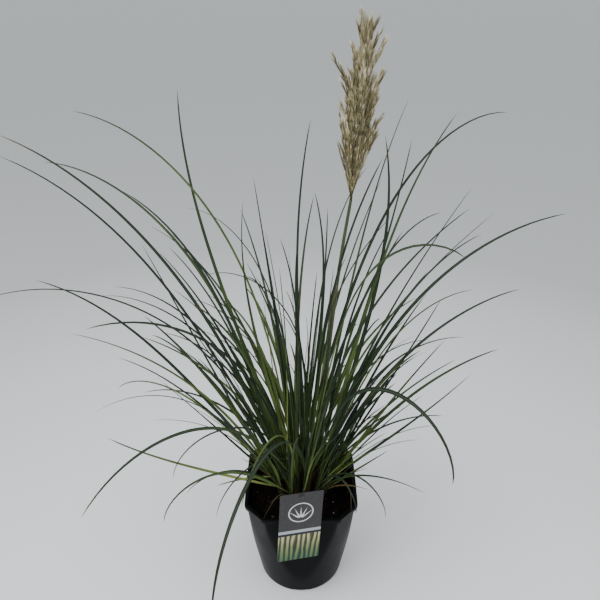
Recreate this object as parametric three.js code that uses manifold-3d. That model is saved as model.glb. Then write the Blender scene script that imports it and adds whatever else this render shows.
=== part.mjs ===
// Potted dwarf pampas grass, in millimetres. +Z is up, the origin is the middle of the pot's base,
// +X is to the right of the front view and +Y points to the back.
import * as THREE from 'three';
import Module from 'manifold-3d';

const wasm = await Module();
wasm.setup();

const TAU = Math.PI * 2;
const radians = THREE.MathUtils.degToRad;
const lerp = THREE.MathUtils.lerp;
const clamp = THREE.MathUtils.clamp;

// Driving dimensions

const clearance = 0.3;
const joinTolerance = 0.05;

const potHeight = 178;
const rimWidth = 171;
const cornerCut = 29;
const baseRadius = 67;
const coneTopRadius = 99;
const sideFlatFoot = 71.5;
const cornerFlatFoot = 72;
const wallThickness = 1.5;
const floorThickness = 4;
const lipWidth = 4.5;
const lipHeight = 8;
const footRound = 2;
const lipRound = 0.8;

const drainWidth = 23;
const drainHeight = 2.4;
const drainStart = 38;
const drainHole = 5;
const drainHoleAt = 47;

const soilTop = 153;
const wallLevels = [ 35, 80, 118, soilTop ];
const soilBump = 1.8;
const soilRings = [ 1, 0.84, 0.64 ];

const crownCentre = new THREE.Vector2( 2.5, 1 );
const crownStretch = new THREE.Vector2( 1.1, 0.95 );
const shootDepth = 14;
const shootFootRadius = 3.8;
const shootTopRadius = 2.2;
const shootRings = [
	{ count: 5, radius: 9.5, turn: 18, lean: 3, height: 78, blades: 6 },
	{ count: 9, radius: 20.5, turn: 10, lean: 9, height: 62, blades: 7 },
	{ count: 14, radius: 31.5, turn: 40, lean: 17, height: 44, blades: 5 }
];

const bladeKeel = 1.1;
const bladeTipKeel = 0.6;
const bladeHalfThickness = 1;
const bladeRootWidth = 0.62;
const bladeTipWidth = 0.12;
const bladeTaper = 0.8;
const bladeWidestAt = 0.3;
const bladeGap = 0.8;

// A blade has a straight piece for each of these lengths, and one more for each of these droops.
const bladePiece = 115;
const bladePieceDroop = 50;
const bladeFineSteps = 5;

// Blades keep out of the pot's walls, off the surface that the pot stands on and out of the label's view.
const potReach = 104;
const rimReach = [ 62, 104 ];
const overRim = potHeight + 6;
const overSoil = soilTop - 3;
const overGround = 15;
const labelFront = { halfWidth: 40, y: - 70, top: 250 };

const labelWidth = 62.5;
const labelHeight = 131.5;
const labelThickness = 0.8;
const labelYaw = - 13.3;
const labelRoll = - 2.7;
const labelPin = new THREE.Vector3( 1.1, - 96, 237.4 );
const labelCorner = 2;
const pinHoleBelowTop = 6;
const pinHoleRadius = 2.4;
const pegRadius = 2;
const pegHeadRadius = 4;
const pegHeadHeight = 1.3;
const stakeRadius = 2.2;
const stakeBehindLabel = 4.5;
const stakeFoot = new THREE.Vector3( labelPin.x, - 58, soilTop - 20 );

const culmPoints = [
	new THREE.Vector3( 29.5, 17.5, 139 ),
	new THREE.Vector3( 31.5, 18.5, 230 ),
	new THREE.Vector3( 39.5, 22, 407 ),
	new THREE.Vector3( 54, 25, 557 ),
	new THREE.Vector3( 63, 27, 625 )
];
const culmFootRadius = 3.2;
const culmTopRadius = 2;

const plumePoints = [
	new THREE.Vector3( 63, 27, 625.3 ),
	new THREE.Vector3( 67.5, 29, 700 ),
	new THREE.Vector3( 73, 31, 775 ),
	new THREE.Vector3( 67, 32, 840 )
];
const plumeAxisRadii = [ 1.9, 3.4, 4.6, 5.2, 5, 4.4, 3.6, 2.8, 2, 1.3, 0 ];
const branchRadii = [ 0.9, 2.6, 2.4, 0 ];
const spikeletRadii = [ 0.6, 1.4, 0 ];

// Plume branches that the photograph shows, one row each: how far up the axis, compass direction,
// how far it opens from the axis in degrees, length.
const seenBranches = [
	[ 0.44, 180, 28, 80 ],
	[ 0.4, 185, 24, 53 ],
	[ 0.33, 175, 20, 51 ],
	[ 0.31, 190, 27, 49 ],
	[ 0.1, 182, 22, 46 ],
	[ 0.56, 178, 17, 40 ],
	[ 0.64, 186, 22, 36 ],
	[ 0.78, 180, 16, 26 ],
	[ 0.47, 200, 18, 52 ],
	[ 0.54, 0, 22, 76 ],
	[ 0.66, 355, 20, 51 ],
	[ 0.76, 5, 20, 37 ],
	[ 0.34, 2, 23, 86 ],
	[ 0.4, 350, 23, 70 ],
	[ 0.19, 5, 31, 72 ],
	[ 0.1, 355, 27, 68 ],
	[ 0.05, 10, 20, 53 ]
];

// The rest of the branches follow a rule, from the foot of the plume to its top.
const otherBranches = {
	count: 18,
	share: [ 0.02, 0.7 ],
	turn: 137.5,
	turnSpread: 30,
	open: [ 23, 12 ],
	length: [ 90, 44 ],
	bow: 8
};
const sideSpikelets = { turnSpread: 4, open: [ 14, 28 ], length: [ 14, 23 ] };

// Half the thickness that blades leave free for what isn't a blade.
const shootRoom = 4;
const culmRoom = 3.6;
const plumeRoom = [ 26, 30, 20 ];
const labelRoom = 4;
const stakeRoom = 3;

const seed = 7;

// Blades that the photograph shows, one row each: ring of shoots (0 inner, 2 outer), compass direction
// in degrees (0 right, 90 back, 180 left), first slope in degrees, length, droop along the blade in
// degrees, how late the droop comes, width.
const seenBlades = [
	// left fan
	[ 1, 170, 70, 650, 51, 2.2, 5.5 ],
	[ 1, 188, 68, 615, 41, 3.4, 5.5 ],
	[ 1, 175, 77, 405, 30, 3, 6 ],
	[ 0, 165, 82, 655, 76, 2.6, 5.5 ],
	[ 1, 162, 71, 590, - 22, 3.6, 6 ],
	[ 1, 165, 75, 610, 76, 2.6, 5 ],
	[ 1, 178, 75, 490, 43, 4, 5 ],
	[ 0, 155, 83, 475, 90, 4, 5 ],
	[ 0, 165, 75, 450, - 24, 3, 6 ],
	[ 0, 115, 88, 350, 50, 3.5, 4.5 ],
	[ 0, 10, 94, 545, 15, 3, 5 ],
	[ 2, 170, 66, 430, 0, 2, 3.5 ],
	[ 0, 175, 95, 412, 124, 3.2, 5 ],
	[ 1, 195, 70.5, 560, 88, 2.3, 6 ],
	[ 2, 185, 58, 480, 38, 3.8, 5 ],
	[ 1, 170, 64, 410, 73, 2.5, 5 ],
	[ 1, 205, 77, 475, 83, 2.4, 6.5 ],
	[ 2, 188, 66, 400, 48, 1.6, 5.5 ],
	[ 2, 170, 48, 310, 36, 2.8, 3.5 ],
	[ 2, 176, 64, 256, 22, 2.4, 5.5 ],
	[ 2, 165, 46, 320, 94, 3.2, 4 ],
	[ 2, 210, 65, 385, 85, 3.2, 5 ],
	[ 2, 182, 52, 262, 2, 1, 4.5 ],
	[ 2, 200, 32, 290, - 14, 3, 4.5 ],
	[ 1, 230, 60, 450, 104, 2.4, 5.5 ],
	[ 2, 216, 50, 270, 136, 3, 4.5 ],
	[ 2, 205, 53, 182, 104, 2.1, 4 ],
	[ 1, 205, 78, 260, 160, 1.5, 3.5 ],
	[ 1, 222, 88, 225, 165, 1.2, 3.5 ],
	[ 1, 250, 73, 470, 160, 1.7, 7.5 ],
	[ 1, 250, 78, 290, 138, 1.9, 3.5 ],
	[ 2, 205, 25, 95, 25, 1, 3.5 ],
	[ 0, 140, 92, 330, 42, 1.4, 4.5 ],
	// right fan
	[ 1, 5, 74, 560, 65, 2.1, 6.5 ],
	[ 1, 55, 72.5, 590, 28, 3, 5 ],
	[ 1, 20, 74, 520, - 30, 3, 7 ],
	[ 0, 45, 78, 452, 24, 1.8, 3.5 ],
	[ 1, 35, 69, 505, - 10, 2.2, 4.5 ],
	[ 1, 25, 76.5, 575, 28, 4, 5.5 ],
	[ 0, 20, 75, 615, 82, 3.8, 5 ],
	[ 1, 35, 79.5, 480, 86, 3.4, 4.5 ],
	[ 1, 10, 77, 480, 20, 1, 6 ],
	[ 0, 350, 75, 480, 28, 1.3, 5 ],
	[ 1, 25, 69, 445, 56, 2.5, 4.5 ],
	[ 0, 330, 81, 510, 112, 5, 7 ],
	[ 1, 15, 71, 390, 68, 3.2, 4 ],
	[ 0, 55, 83, 420, - 6, 2, 4.5 ],
	[ 0, 180, 97, 455, 22, 4, 5 ],
	[ 0, 10, 91, 415, 44, 1.8, 3.5 ],
	[ 0, 50, 83, 470, 58, 4, 3.5 ],
	[ 1, 0, 71, 325, 75, 2.6, 4.5 ],
	[ 1, 350, 73, 325, 70, 4, 4.5 ],
	[ 2, 352, 64, 315, 6, 1.4, 5 ],
	[ 2, 0, 56, 342, 34, 2.2, 5.5 ],
	[ 2, 15, 59, 270, 36, 1.1, 4 ],
	[ 2, 345, 49, 295, - 8, 2.6, 4.5 ],
	[ 1, 306, 73.5, 462, 168, 3, 8 ],
	[ 1, 355, 73, 220, 23, 1, 7.5 ],
	[ 1, 340, 74, 240, 22, 1, 7.5 ],
	[ 1, 30, 61, 290, 30, 1.5, 4.5 ],
	[ 2, 5, 63, 345, - 3, 2, 4.5 ],
	[ 2, 15, 57, 215, 75, 1, 4 ],
	[ 2, 350, 45, 130, 0, 1.5, 4 ],
	[ 2, 312, 62, 205, 160, 2.6, 4.5 ],
	[ 2, 330, 52, 172, 62, 1, 4.5 ],
	[ 2, 297, 60, 165, 160, 3, 4 ],
	[ 0, 35, 88, 330, 4, 1.5, 4 ]
];

// The rest of the blades are drawn by lot within these ranges, one set for each ring.
const otherBlades = [
	{ slope: [ 78, 91 ], length: [ 340, 500 ], droop: [ 0, 60 ], spread: 170 },
	{ slope: [ 69, 87 ], length: [ 280, 470 ], droop: [ 5, 75 ], spread: 120 },
	{ slope: [ 60, 82 ], length: [ 200, 370 ], droop: [ 5, 80 ], spread: 80 }
];
const otherLate = [ 1.2, 3.4 ];
const otherWidth = [ 3.5, 6.5 ];
const otherSway = 36;
const bladeTries = 60;

// The clump is a wide fan, so blades turn to the sides. Those in front stand up straighter and are
// shorter, and those at the back lie a little lower and arch more.
const fanTurn = 12;
const frontBlades = { turn: 10, slope: 12, length: 0.3, droop: 0.6 };
const backBlades = { slope: 8, length: 0.1, droop: 25 };

// A seen blade is turned by a few degrees where another blade is in its way.
const seenTurns = 13;
const seenTurn = 2;
const seenShoots = 3;
const seenRoots = [ 0.5, 0.95 ];
const otherRoots = [ 0.25, 0.95 ];

// Numbers by lot, the same ones on every run

function makeLot( start ) {

	let state = start >>> 0;

	return () => {

		state = ( state + 0x6d2b79f5 ) >>> 0;
		let mix = state;
		mix = Math.imul( mix ^ ( mix >>> 15 ), mix | 1 );
		mix ^= mix + Math.imul( mix ^ ( mix >>> 7 ), mix | 61 );
		return ( ( mix ^ ( mix >>> 14 ) ) >>> 0 ) / 4294967296;

	};

}

// Closed solids

function solidFrom( vertices, triangles ) {

	let volume = 0;
	for ( const [ a, b, c ] of triangles ) {

		volume += vertices[ a ].dot( new THREE.Vector3().crossVectors( vertices[ b ], vertices[ c ] ) );

	}

	const facing = volume < 0 ? triangles.map( ( [ a, b, c ] ) => [ a, c, b ] ) : triangles;
	const vertProperties = Float32Array.from( vertices.flatMap( ( vertex ) => vertex.toArray() ) );
	const triVerts = Uint32Array.from( facing.flat() );
	return new wasm.Manifold( new wasm.Mesh( { numProp: 3, vertProperties, triVerts } ) );

}

// Joins loops of points into one skin. A loop of a single point is a tip, and any other end is closed flat.
function loft( loops ) {

	const vertices = loops.flat();
	const triangles = [];
	let start = 0;

	for ( let i = 0; i + 1 < loops.length; i ++ ) {

		const here = loops[ i ].length;
		const there = loops[ i + 1 ].length;
		const next = start + here;
		const sides = Math.max( here, there );

		for ( let k = 0; k < sides; k ++ ) {

			const a = start + k % here;
			const b = start + ( k + 1 ) % here;
			const c = next + k % there;
			const d = next + ( k + 1 ) % there;
			if ( here > 1 ) triangles.push( [ a, b, d ] );
			if ( there > 1 ) triangles.push( [ a, d, c ] );

		}

		start = next;

	}

	const first = loops[ 0 ].length;
	const last = loops[ loops.length - 1 ].length;
	const lastStart = vertices.length - last;
	for ( let k = 1; k + 1 < first; k ++ ) triangles.push( [ 0, k + 1, k ] );
	for ( let k = 1; k + 1 < last; k ++ ) triangles.push( [ lastStart, lastStart + k, lastStart + k + 1 ] );
	return solidFrom( vertices, triangles );

}

// A round bar along points, with a radius at each of them. A radius of 0 ends in a tip.
function bar( points, radii, sides ) {

	const along = new THREE.Vector3().subVectors( points[ 1 ], points[ 0 ] ).normalize();
	const first = Math.abs( along.x ) < 0.8 ? new THREE.Vector3( 1, 0, 0 ) : new THREE.Vector3( 0, 1, 0 );
	const across = first.clone();

	const loops = points.map( ( point, i ) => {

		if ( radii[ i ] === 0 ) return [ point ];
		const before = points[ Math.max( i - 1, 0 ) ];
		const after = points[ Math.min( i + 1, points.length - 1 ) ];
		along.subVectors( after, before ).normalize();
		across.addScaledVector( along, - across.dot( along ) ).normalize();
		const over = new THREE.Vector3().crossVectors( along, across );
		return Array.from( { length: sides }, ( _, k ) => {

			const angle = TAU * k / sides;
			return point.clone()
				.addScaledVector( across, radii[ i ] * Math.cos( angle ) )
				.addScaledVector( over, radii[ i ] * Math.sin( angle ) );

		} );

	} );

	return loft( loops );

}

// Joins pieces that grow together. The outer skin alone is kept, so a hollow closed by the joining is filled.
function fuse( pieces ) {

	const skins = wasm.Manifold.union( pieces ).decompose();
	const body = skins.reduce( ( largest, skin ) => skin.volume() > largest.volume() ? skin : largest );
	return body.simplify( joinTolerance );

}

function solidOfBox( width, depth, height, matrix ) {

	const corners = [ [ - 1, - 1 ], [ 1, - 1 ], [ 1, 1 ], [ - 1, 1 ] ];
	const loopAt = ( z ) => corners.map( ( [ x, y ] ) => {

		return new THREE.Vector3( x * width / 2, y * depth / 2, z ).applyMatrix4( matrix );

	} );
	return loft( [ loopAt( - height / 2 ), loopAt( height / 2 ) ] );

}

const meshes = new THREE.Group();

function addPart( name, solid, color, roughness ) {

	const { vertProperties, triVerts } = solid.getMesh();
	const geometry = new THREE.BufferGeometry();
	geometry.setAttribute( 'position', new THREE.BufferAttribute( vertProperties, 3 ) );
	geometry.setIndex( new THREE.BufferAttribute( triVerts, 1 ) );
	geometry.computeVertexNormals();
	const material = new THREE.MeshStandardMaterial( { color, roughness, metalness: 0 } );
	const mesh = new THREE.Mesh( geometry, material );
	mesh.name = name;
	meshes.add( mesh );

}

// The pot: a cone with a flat on each side and at each corner, so it is round at its foot

// Angles of one quarter, with the two ends of the cut corner among them.
const cornerAngle = Math.atan2( rimWidth / 2 - cornerCut, rimWidth / 2 );
const quarterAngles = [
	0, cornerAngle / 3, cornerAngle * 2 / 3, cornerAngle,
	Math.PI / 4, Math.PI / 2 - cornerAngle, Math.PI / 2 - cornerAngle * 2 / 3, Math.PI / 2 - cornerAngle / 3
];
const potAngles = [ 0, 1, 2, 3 ].flatMap( ( quarter ) => {

	return quarterAngles.map( ( angle ) => angle + quarter * Math.PI / 2 );

} );

// Distance from the axis to the outside of the wall, the lip left out.
function potRadius( angle, z ) {

	const inQuarter = angle % ( Math.PI / 2 );
	const fromSide = Math.min( inQuarter, Math.PI / 2 - inQuarter );
	const sideTop = rimWidth / 2 - lipWidth;
	const cornerTop = ( rimWidth - cornerCut ) / Math.SQRT2 - lipWidth;
	const up = z / potHeight;
	const cone = lerp( baseRadius, coneTopRadius, up );
	const side = lerp( sideFlatFoot, sideTop, up ) / Math.cos( fromSide );
	const corner = lerp( cornerFlatFoot, cornerTop, up ) / Math.cos( Math.PI / 4 - inQuarter );
	return Math.min( cone, side, corner );

}

function potLoop( z, grow = 0, height = z ) {

	return potAngles.map( ( angle ) => {

		const radius = potRadius( angle, z ) + grow;
		return new THREE.Vector3( radius * Math.cos( angle ), radius * Math.sin( angle ), height );

	} );

}

function makePot() {

	const lipBottom = potHeight - lipHeight;
	const outside = [
		[ new THREE.Vector3( 0, 0, 0 ) ],
		potLoop( 0, - footRound ),
		potLoop( footRound ),
		...wallLevels.map( ( z ) => potLoop( z ) ),
		potLoop( lipBottom ),
		potLoop( lipBottom, lipWidth - lipRound ),
		potLoop( lipBottom + lipRound, lipWidth ),
		potLoop( potHeight - lipRound, lipWidth ),
		potLoop( potHeight, lipWidth - lipRound )
	];
	const inside = [
		potLoop( potHeight, - wallThickness ),
		...wallLevels.toReversed().map( ( z ) => potLoop( z, - wallThickness ) ),
		potLoop( floorThickness, - wallThickness ),
		[ new THREE.Vector3( 0, 0, floorThickness ) ]
	];
	let pot = loft( [ ...outside, ...inside ] );

	// four drain channels across the foot, each with a hole through the floor
	const past = 1;
	const length = baseRadius + past - drainStart;
	const middle = new THREE.Matrix4().makeTranslation( drainStart + length / 2, 0, ( drainHeight - past ) / 2 );

	for ( let quarter = 0; quarter < 4; quarter ++ ) {

		const turn = new THREE.Matrix4().makeRotationZ( quarter * Math.PI / 2 );
		const hole = [ - past, floorThickness + past ].map( ( z ) => {

			return new THREE.Vector3( drainHoleAt, 0, z ).applyMatrix4( turn );

		} );
		pot = pot.subtract( solidOfBox( length, drainWidth, drainHeight + past, turn.clone().multiply( middle ) ) );
		pot = pot.subtract( bar( hole, [ drainHole, drainHole ], 10 ) );

	}

	return pot;

}

// A few low waves that cross each other.
function soilHeight( x, y ) {

	const wave = Math.sin( x * 0.13 + 1 ) * Math.cos( y * 0.11 ) + 0.5 * Math.sin( ( x + y ) * 0.23 );
	return soilTop + soilBump * wave;

}

// The soil's sides have the levels of the wall, facet for facet.
function makeSoil() {

	const gap = - wallThickness - clearance;
	const tops = soilRings.map( ( share ) => potAngles.map( ( angle ) => {

		const radius = share * ( potRadius( angle, soilTop ) + gap );
		const x = radius * Math.cos( angle );
		const y = radius * Math.sin( angle );
		return new THREE.Vector3( x, y, share === 1 ? soilTop : soilHeight( x, y ) );

	} ) );
	return loft( [
		[ new THREE.Vector3( 0, 0, soilHeight( 0, 0 ) ) ],
		...tops.toReversed(),
		...wallLevels.slice( 0, - 1 ).toReversed().map( ( z ) => potLoop( z, gap ) ),
		potLoop( floorThickness, gap, floorThickness + clearance ),
		[ new THREE.Vector3( 0, 0, floorThickness + clearance ) ]
	] );

}

// Room between blades

// A run is a straight piece of a blade or stem, as wide and thick as it is half way around its line.
function makeRun( start, end, side, flat, halfWidth, halfThickness, owner, atRoot = true ) {

	const along = new THREE.Vector3().subVectors( end, start );
	const middle = new THREE.Vector3().addVectors( start, end ).multiplyScalar( 0.5 );
	const reach = along.length() / 2 + Math.hypot( halfWidth, halfThickness );
	return { start, along, side, flat, halfWidth, halfThickness, owner, atRoot, middle, reach };

}

const xAxis = new THREE.Vector3( 1, 0, 0 );
const yAxis = new THREE.Vector3( 0, 1, 0 );

function roundRun( start, end, radius, owner ) {

	return makeRun( start, end, xAxis, yAxis, radius, radius, owner );

}

const between = new THREE.Vector3();

// The shortest way from a point of one run to a point of the other, left in between.
function measureBetween( one, two ) {

	between.subVectors( one.start, two.start );
	const a = one.along.dot( one.along );
	const e = two.along.dot( two.along );
	const b = one.along.dot( two.along );
	const c = one.along.dot( between );
	const f = two.along.dot( between );
	const spread = a * e - b * b;
	let s = spread > 1e-9 ? clamp( ( b * f - c * e ) / spread, 0, 1 ) : 0.5;
	let t = clamp( ( b * s + f ) / e, 0, 1 );
	s = clamp( ( b * t - c ) / a, 0, 1 );
	t = clamp( ( b * s + f ) / e, 0, 1 );
	between.addScaledVector( one.along, s ).addScaledVector( two.along, - t );

}

function tooClose( one, two ) {

	if ( one.middle.distanceTo( two.middle ) > one.reach + two.reach + bladeGap ) return false;
	measureBetween( one, two );
	const distance = between.length();
	if ( distance < 1e-6 ) return true;
	between.divideScalar( distance );
	const room = [ one, two ].reduce( ( sum, run ) => {

		return sum + Math.abs( between.dot( run.side ) ) * run.halfWidth
			+ Math.abs( between.dot( run.flat ) ) * run.halfThickness;

	}, bladeGap );
	return distance < room;

}

// Blades

// Points along a blade from its root. Its slope falls from the first slope by the droop, and it may sway.
function bladeCurve( root, blade ) {

	const pieces = blade.length / bladePiece + Math.abs( blade.droop ) / bladePieceDroop;
	const steps = Math.max( 3, Math.round( pieces ) + 1 );
	const points = [ root.clone() ];
	const sides = [];
	const flats = [];
	const point = root.clone();
	const total = steps * bladeFineSteps;

	for ( let i = 0; i < total; i ++ ) {

		const t = ( i + 0.5 ) / total;
		const slope = radians( blade.slope - blade.droop * t ** blade.late );
		const heading = radians( blade.heading + blade.sway * t * t );
		const along = new THREE.Vector3(
			Math.cos( slope ) * Math.cos( heading ),
			Math.cos( slope ) * Math.sin( heading ),
			Math.sin( slope )
		);
		point.addScaledVector( along, blade.length / total );
		if ( i % bladeFineSteps === ( bladeFineSteps - 1 ) / 2 ) {

			const side = new THREE.Vector3( - Math.sin( heading ), Math.cos( heading ), 0 );
			sides.push( side );
			flats.push( new THREE.Vector3().crossVectors( along, side ) );

		}

		if ( i % bladeFineSteps === bladeFineSteps - 1 ) points.push( point.clone() );

	}

	return { points, sides, flats };

}

// Narrow where the blade leaves its sheath, widest a third of the way out, then a long taper.
function bladeWidth( t, width ) {

	if ( t < bladeWidestAt ) return width * lerp( bladeRootWidth, 1, t / bladeWidestAt );
	return width * lerp( bladeTipWidth, 1, ( ( 1 - t ) / ( 1 - bladeWidestAt ) ) ** bladeTaper );

}

function bladeRuns( curve, width, owner ) {

	const steps = curve.sides.length;
	return curve.sides.map( ( side, i ) => {

		const half = Math.max( bladeWidth( i / steps, width ), bladeWidth( ( i + 1 ) / steps, width ) ) / 2;
		const [ start, end ] = [ curve.points[ i ], curve.points[ i + 1 ] ];
		return makeRun( start, end, side, curve.flats[ i ], half, bladeHalfThickness, owner, i === 0 );

	} );

}

// A blade has a flat upper face between its two edges and a keel below it.
function bladeSolid( curve, width ) {

	const steps = curve.sides.length;
	const loops = curve.points.map( ( point, i ) => {

		if ( i === steps ) return [ point ];
		const t = i / steps;
		const before = Math.max( i - 1, 0 );
		const side = new THREE.Vector3().addVectors( curve.sides[ before ], curve.sides[ i ] ).normalize();
		const flat = new THREE.Vector3().addVectors( curve.flats[ before ], curve.flats[ i ] ).normalize();
		const half = bladeWidth( t, width ) / 2;
		const keel = lerp( bladeKeel, bladeTipKeel, t );
		return [
			point.clone().addScaledVector( side, half ).addScaledVector( flat, keel / 2 ),
			point.clone().addScaledVector( side, - half ).addScaledVector( flat, keel / 2 ),
			point.clone().addScaledVector( flat, - keel )
		];

	} );
	return loft( loops );

}

// Shoots

function makeShoots( lot ) {

	const shoots = [];
	shootRings.forEach( ( ring, ringIndex ) => {

		for ( let k = 0; k < ring.count; k ++ ) {

			// the first place of the outer ring is the flowering stem's
			if ( ringIndex === 2 && k === 0 ) continue;
			const heading = ring.turn + 360 * k / ring.count;
			const angle = radians( heading );
			const foot = new THREE.Vector3(
				crownCentre.x + crownStretch.x * ring.radius * Math.cos( angle ),
				crownCentre.y + crownStretch.y * ring.radius * Math.sin( angle ),
				soilTop
			);
			const lean = radians( ring.lean + 4 * ( lot() - 0.5 ) );
			const height = ring.height * ( 0.85 + 0.3 * lot() );
			const up = new THREE.Vector3(
				Math.sin( lean ) * Math.cos( angle ),
				Math.sin( lean ) * Math.sin( angle ),
				Math.cos( lean )
			);
			shoots.push( { ring: ringIndex, heading: heading % 360, foot, up, height, blades: [] } );

		}

	} );
	return shoots;

}

function turnBetween( a, b ) {

	return ( ( a - b + 180 ) % 360 + 360 ) % 360 - 180;

}

// The shoots of a ring, first those that face nearest to a heading and aren't crowded yet.
function shootsFor( shoots, ring, heading ) {

	const cost = ( shoot ) => Math.abs( turnBetween( shoot.heading, heading ) ) + 14 * shoot.blades.length;
	return shoots.filter( ( shoot ) => shoot.ring === ring ).sort( ( one, two ) => cost( one ) - cost( two ) );

}

// Blades leave a shoot at heights spread evenly by the golden ratio.
function rootOn( shoot, [ from, to ] ) {

	const share = from + ( to - from ) * ( shoot.blades.length * 0.618 % 1 );
	return shoot.foot.clone().addScaledVector( shoot.up, shoot.height * share );

}

function meetsPot( points ) {

	return points.some( ( { x, y, z } ) => {

		const out = Math.hypot( x, y );
		if ( z < overGround ) return true;
		if ( Math.abs( x ) < labelFront.halfWidth && y < labelFront.y && z < labelFront.top ) return true;
		if ( out < potReach && z < overSoil ) return true;
		return out > rimReach[ 0 ] && out < rimReach[ 1 ] && z < overRim;

	} );

}

function tryBlade( shoot, root, blade, runs ) {

	const curve = bladeCurve( root, blade );
	if ( meetsPot( curve.points ) ) return false;
	const own = bladeRuns( curve, blade.width, shoot );
	const clash = own.some( ( run ) => runs.some( ( other ) => {

		// blades of one shoot may only meet where they leave it
		const joined = other.owner === shoot && ( run.atRoot || other.atRoot );
		return ! joined && tooClose( run, other );

	} ) );
	if ( clash ) return false;
	runs.push( ...own );
	shoot.blades.push( { ...blade, root, curve } );
	return true;

}

function growSeenBlades( shoots, runs ) {

	const places = Array.from( { length: seenTurns * seenShoots }, ( _, i ) => {

		const step = Math.floor( i / seenShoots );
		const turn = Math.ceil( step / 2 ) * seenTurn * ( step % 2 ? 1 : - 1 );
		return [ turn, i % seenShoots ];

	} );

	for ( const [ ring, heading, slope, length, droop, late, width ] of seenBlades ) {

		const nearest = shootsFor( shoots, ring, heading );
		places.some( ( [ turn, choice ] ) => {

			const shoot = nearest[ choice ];
			const blade = { heading: heading + turn, slope, length, droop, late, width, sway: 0 };
			return tryBlade( shoot, rootOn( shoot, seenRoots ), blade, runs );

		} );

	}

}

function growOtherBlades( shoots, runs, lot ) {

	const between = ( [ low, high ] ) => low + ( high - low ) * lot();
	const outerFirst = shoots.toSorted( ( one, two ) => two.ring - one.ring );

	for ( const shoot of outerFirst ) {

		const range = otherBlades[ shoot.ring ];
		const wanted = shootRings[ shoot.ring ].blades;
		for ( let tries = 0; tries < bladeTries && shoot.blades.length < wanted; tries ++ ) {

			const root = rootOn( shoot, otherRoots );
			let heading = shoot.heading + range.spread * ( lot() - 0.5 );
			const slope = between( range.slope );
			const length = between( range.length );
			const droop = between( range.droop );
			const late = between( otherLate );
			const width = between( otherWidth );
			const sway = otherSway * ( lot() - 0.5 );
			const backness = Math.sin( radians( heading ) );
			const front = Math.max( 0, - backness );
			const back = Math.max( 0, backness );
			heading -= ( fanTurn + frontBlades.turn * front ) * Math.sin( 2 * radians( heading ) );
			const blade = {
				heading,
				slope: slope + frontBlades.slope * front - backBlades.slope * back,
				length: length * ( 1 - frontBlades.length * front ) * ( 1 - backBlades.length * back ),
				droop: droop * ( 1 - frontBlades.droop * front ) + backBlades.droop * back,
				late,
				width,
				sway
			};
			tryBlade( shoot, root, blade, runs );

		}

	}

}

function shootCore( shoot, grow = 0 ) {

	const heights = [ - shootDepth - grow, shoot.height * 0.4, shoot.height ];
	const radii = [ shootFootRadius, shootFootRadius * 0.85, shootTopRadius ].map( ( radius ) => radius + grow );
	return bar( heights.map( ( height ) => shoot.foot.clone().addScaledVector( shoot.up, height ) ), radii, 5 );

}

// Flowering stem and plume

const culmCurve = new THREE.CatmullRomCurve3( culmPoints );
const plumeCurve = new THREE.CatmullRomCurve3( plumePoints );
const culmSteps = 12;

function culmBar( grow = 0 ) {

	const points = culmCurve.getPoints( culmSteps );
	points[ 0 ].z -= grow;
	const radii = points.map( ( _, i ) => lerp( culmFootRadius, culmTopRadius, i / culmSteps ) + grow );
	return bar( points, radii, 6 );

}

// Points along a branch, which leaves the axis steeply and bows a little further out towards its tip.
function branchPoints( branch ) {

	const steps = branchRadii.length - 1;
	const point = branch.root.clone();
	const points = [ point.clone() ];

	for ( let i = 0; i < steps; i ++ ) {

		const t = ( i + 0.5 ) / steps;
		const tilt = radians( branch.open * 0.7 + branch.bow * t * t );
		point.addScaledVector( wayOut( tilt, branch.heading ), branch.length / steps );
		points.push( point.clone() );

	}

	return points;

}

function wayOut( tilt, heading ) {

	const out = Math.sin( tilt );
	return new THREE.Vector3( out * Math.cos( heading ), out * Math.sin( heading ), Math.cos( tilt ) );

}

function makeBranches( lot ) {

	const branches = seenBranches.map( ( [ share, heading, open, length ] ) => {

		return { root: plumeCurve.getPoint( share ), heading: radians( heading ), open, length, bow: open * 0.8 };

	} );

	for ( let k = 0; k < otherBranches.count; k ++ ) {

		const up = ( k + 0.5 ) / otherBranches.count;
		branches.push( {
			root: plumeCurve.getPoint( lerp( ...otherBranches.share, up ) ),
			heading: radians( otherBranches.turn * k + otherBranches.turnSpread * ( lot() - 0.5 ) ),
			open: lerp( ...otherBranches.open, up ) * ( 0.6 + 0.7 * lot() ),
			length: lerp( ...otherBranches.length, up ) * ( 0.85 + 0.3 * lot() ),
			bow: otherBranches.bow * lot()
		} );

	}

	return branches;

}

function makePlume( lot ) {

	const axis = plumeCurve.getPoints( plumeAxisRadii.length - 1 );
	const pieces = [ bar( axis, plumeAxisRadii, 5 ) ];

	for ( const branch of makeBranches( lot ) ) {

		const points = branchPoints( branch );
		pieces.push( bar( points, branchRadii, 3 ) );

		for ( const from of points.slice( 1, - 1 ) ) {

			const turn = branch.heading + sideSpikelets.turnSpread * ( lot() - 0.5 );
			const way = wayOut( radians( branch.open + lerp( ...sideSpikelets.open, lot() ) ), turn );
			const length = lerp( ...sideSpikelets.length, lot() );
			const middle = from.clone().addScaledVector( way, length * 0.45 );
			const tip = from.clone().addScaledVector( way, length );
			pieces.push( bar( [ from, middle, tip ], spikeletRadii, 3 ) );

		}

	}

	return fuse( pieces );

}

// Label and its pin

const labelFrame = new THREE.Matrix4()
	.makeTranslation( labelPin )
	.multiply( new THREE.Matrix4().makeRotationZ( - radians( labelYaw ) ) )
	.multiply( new THREE.Matrix4().makeRotationY( - radians( labelRoll ) ) );

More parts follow.
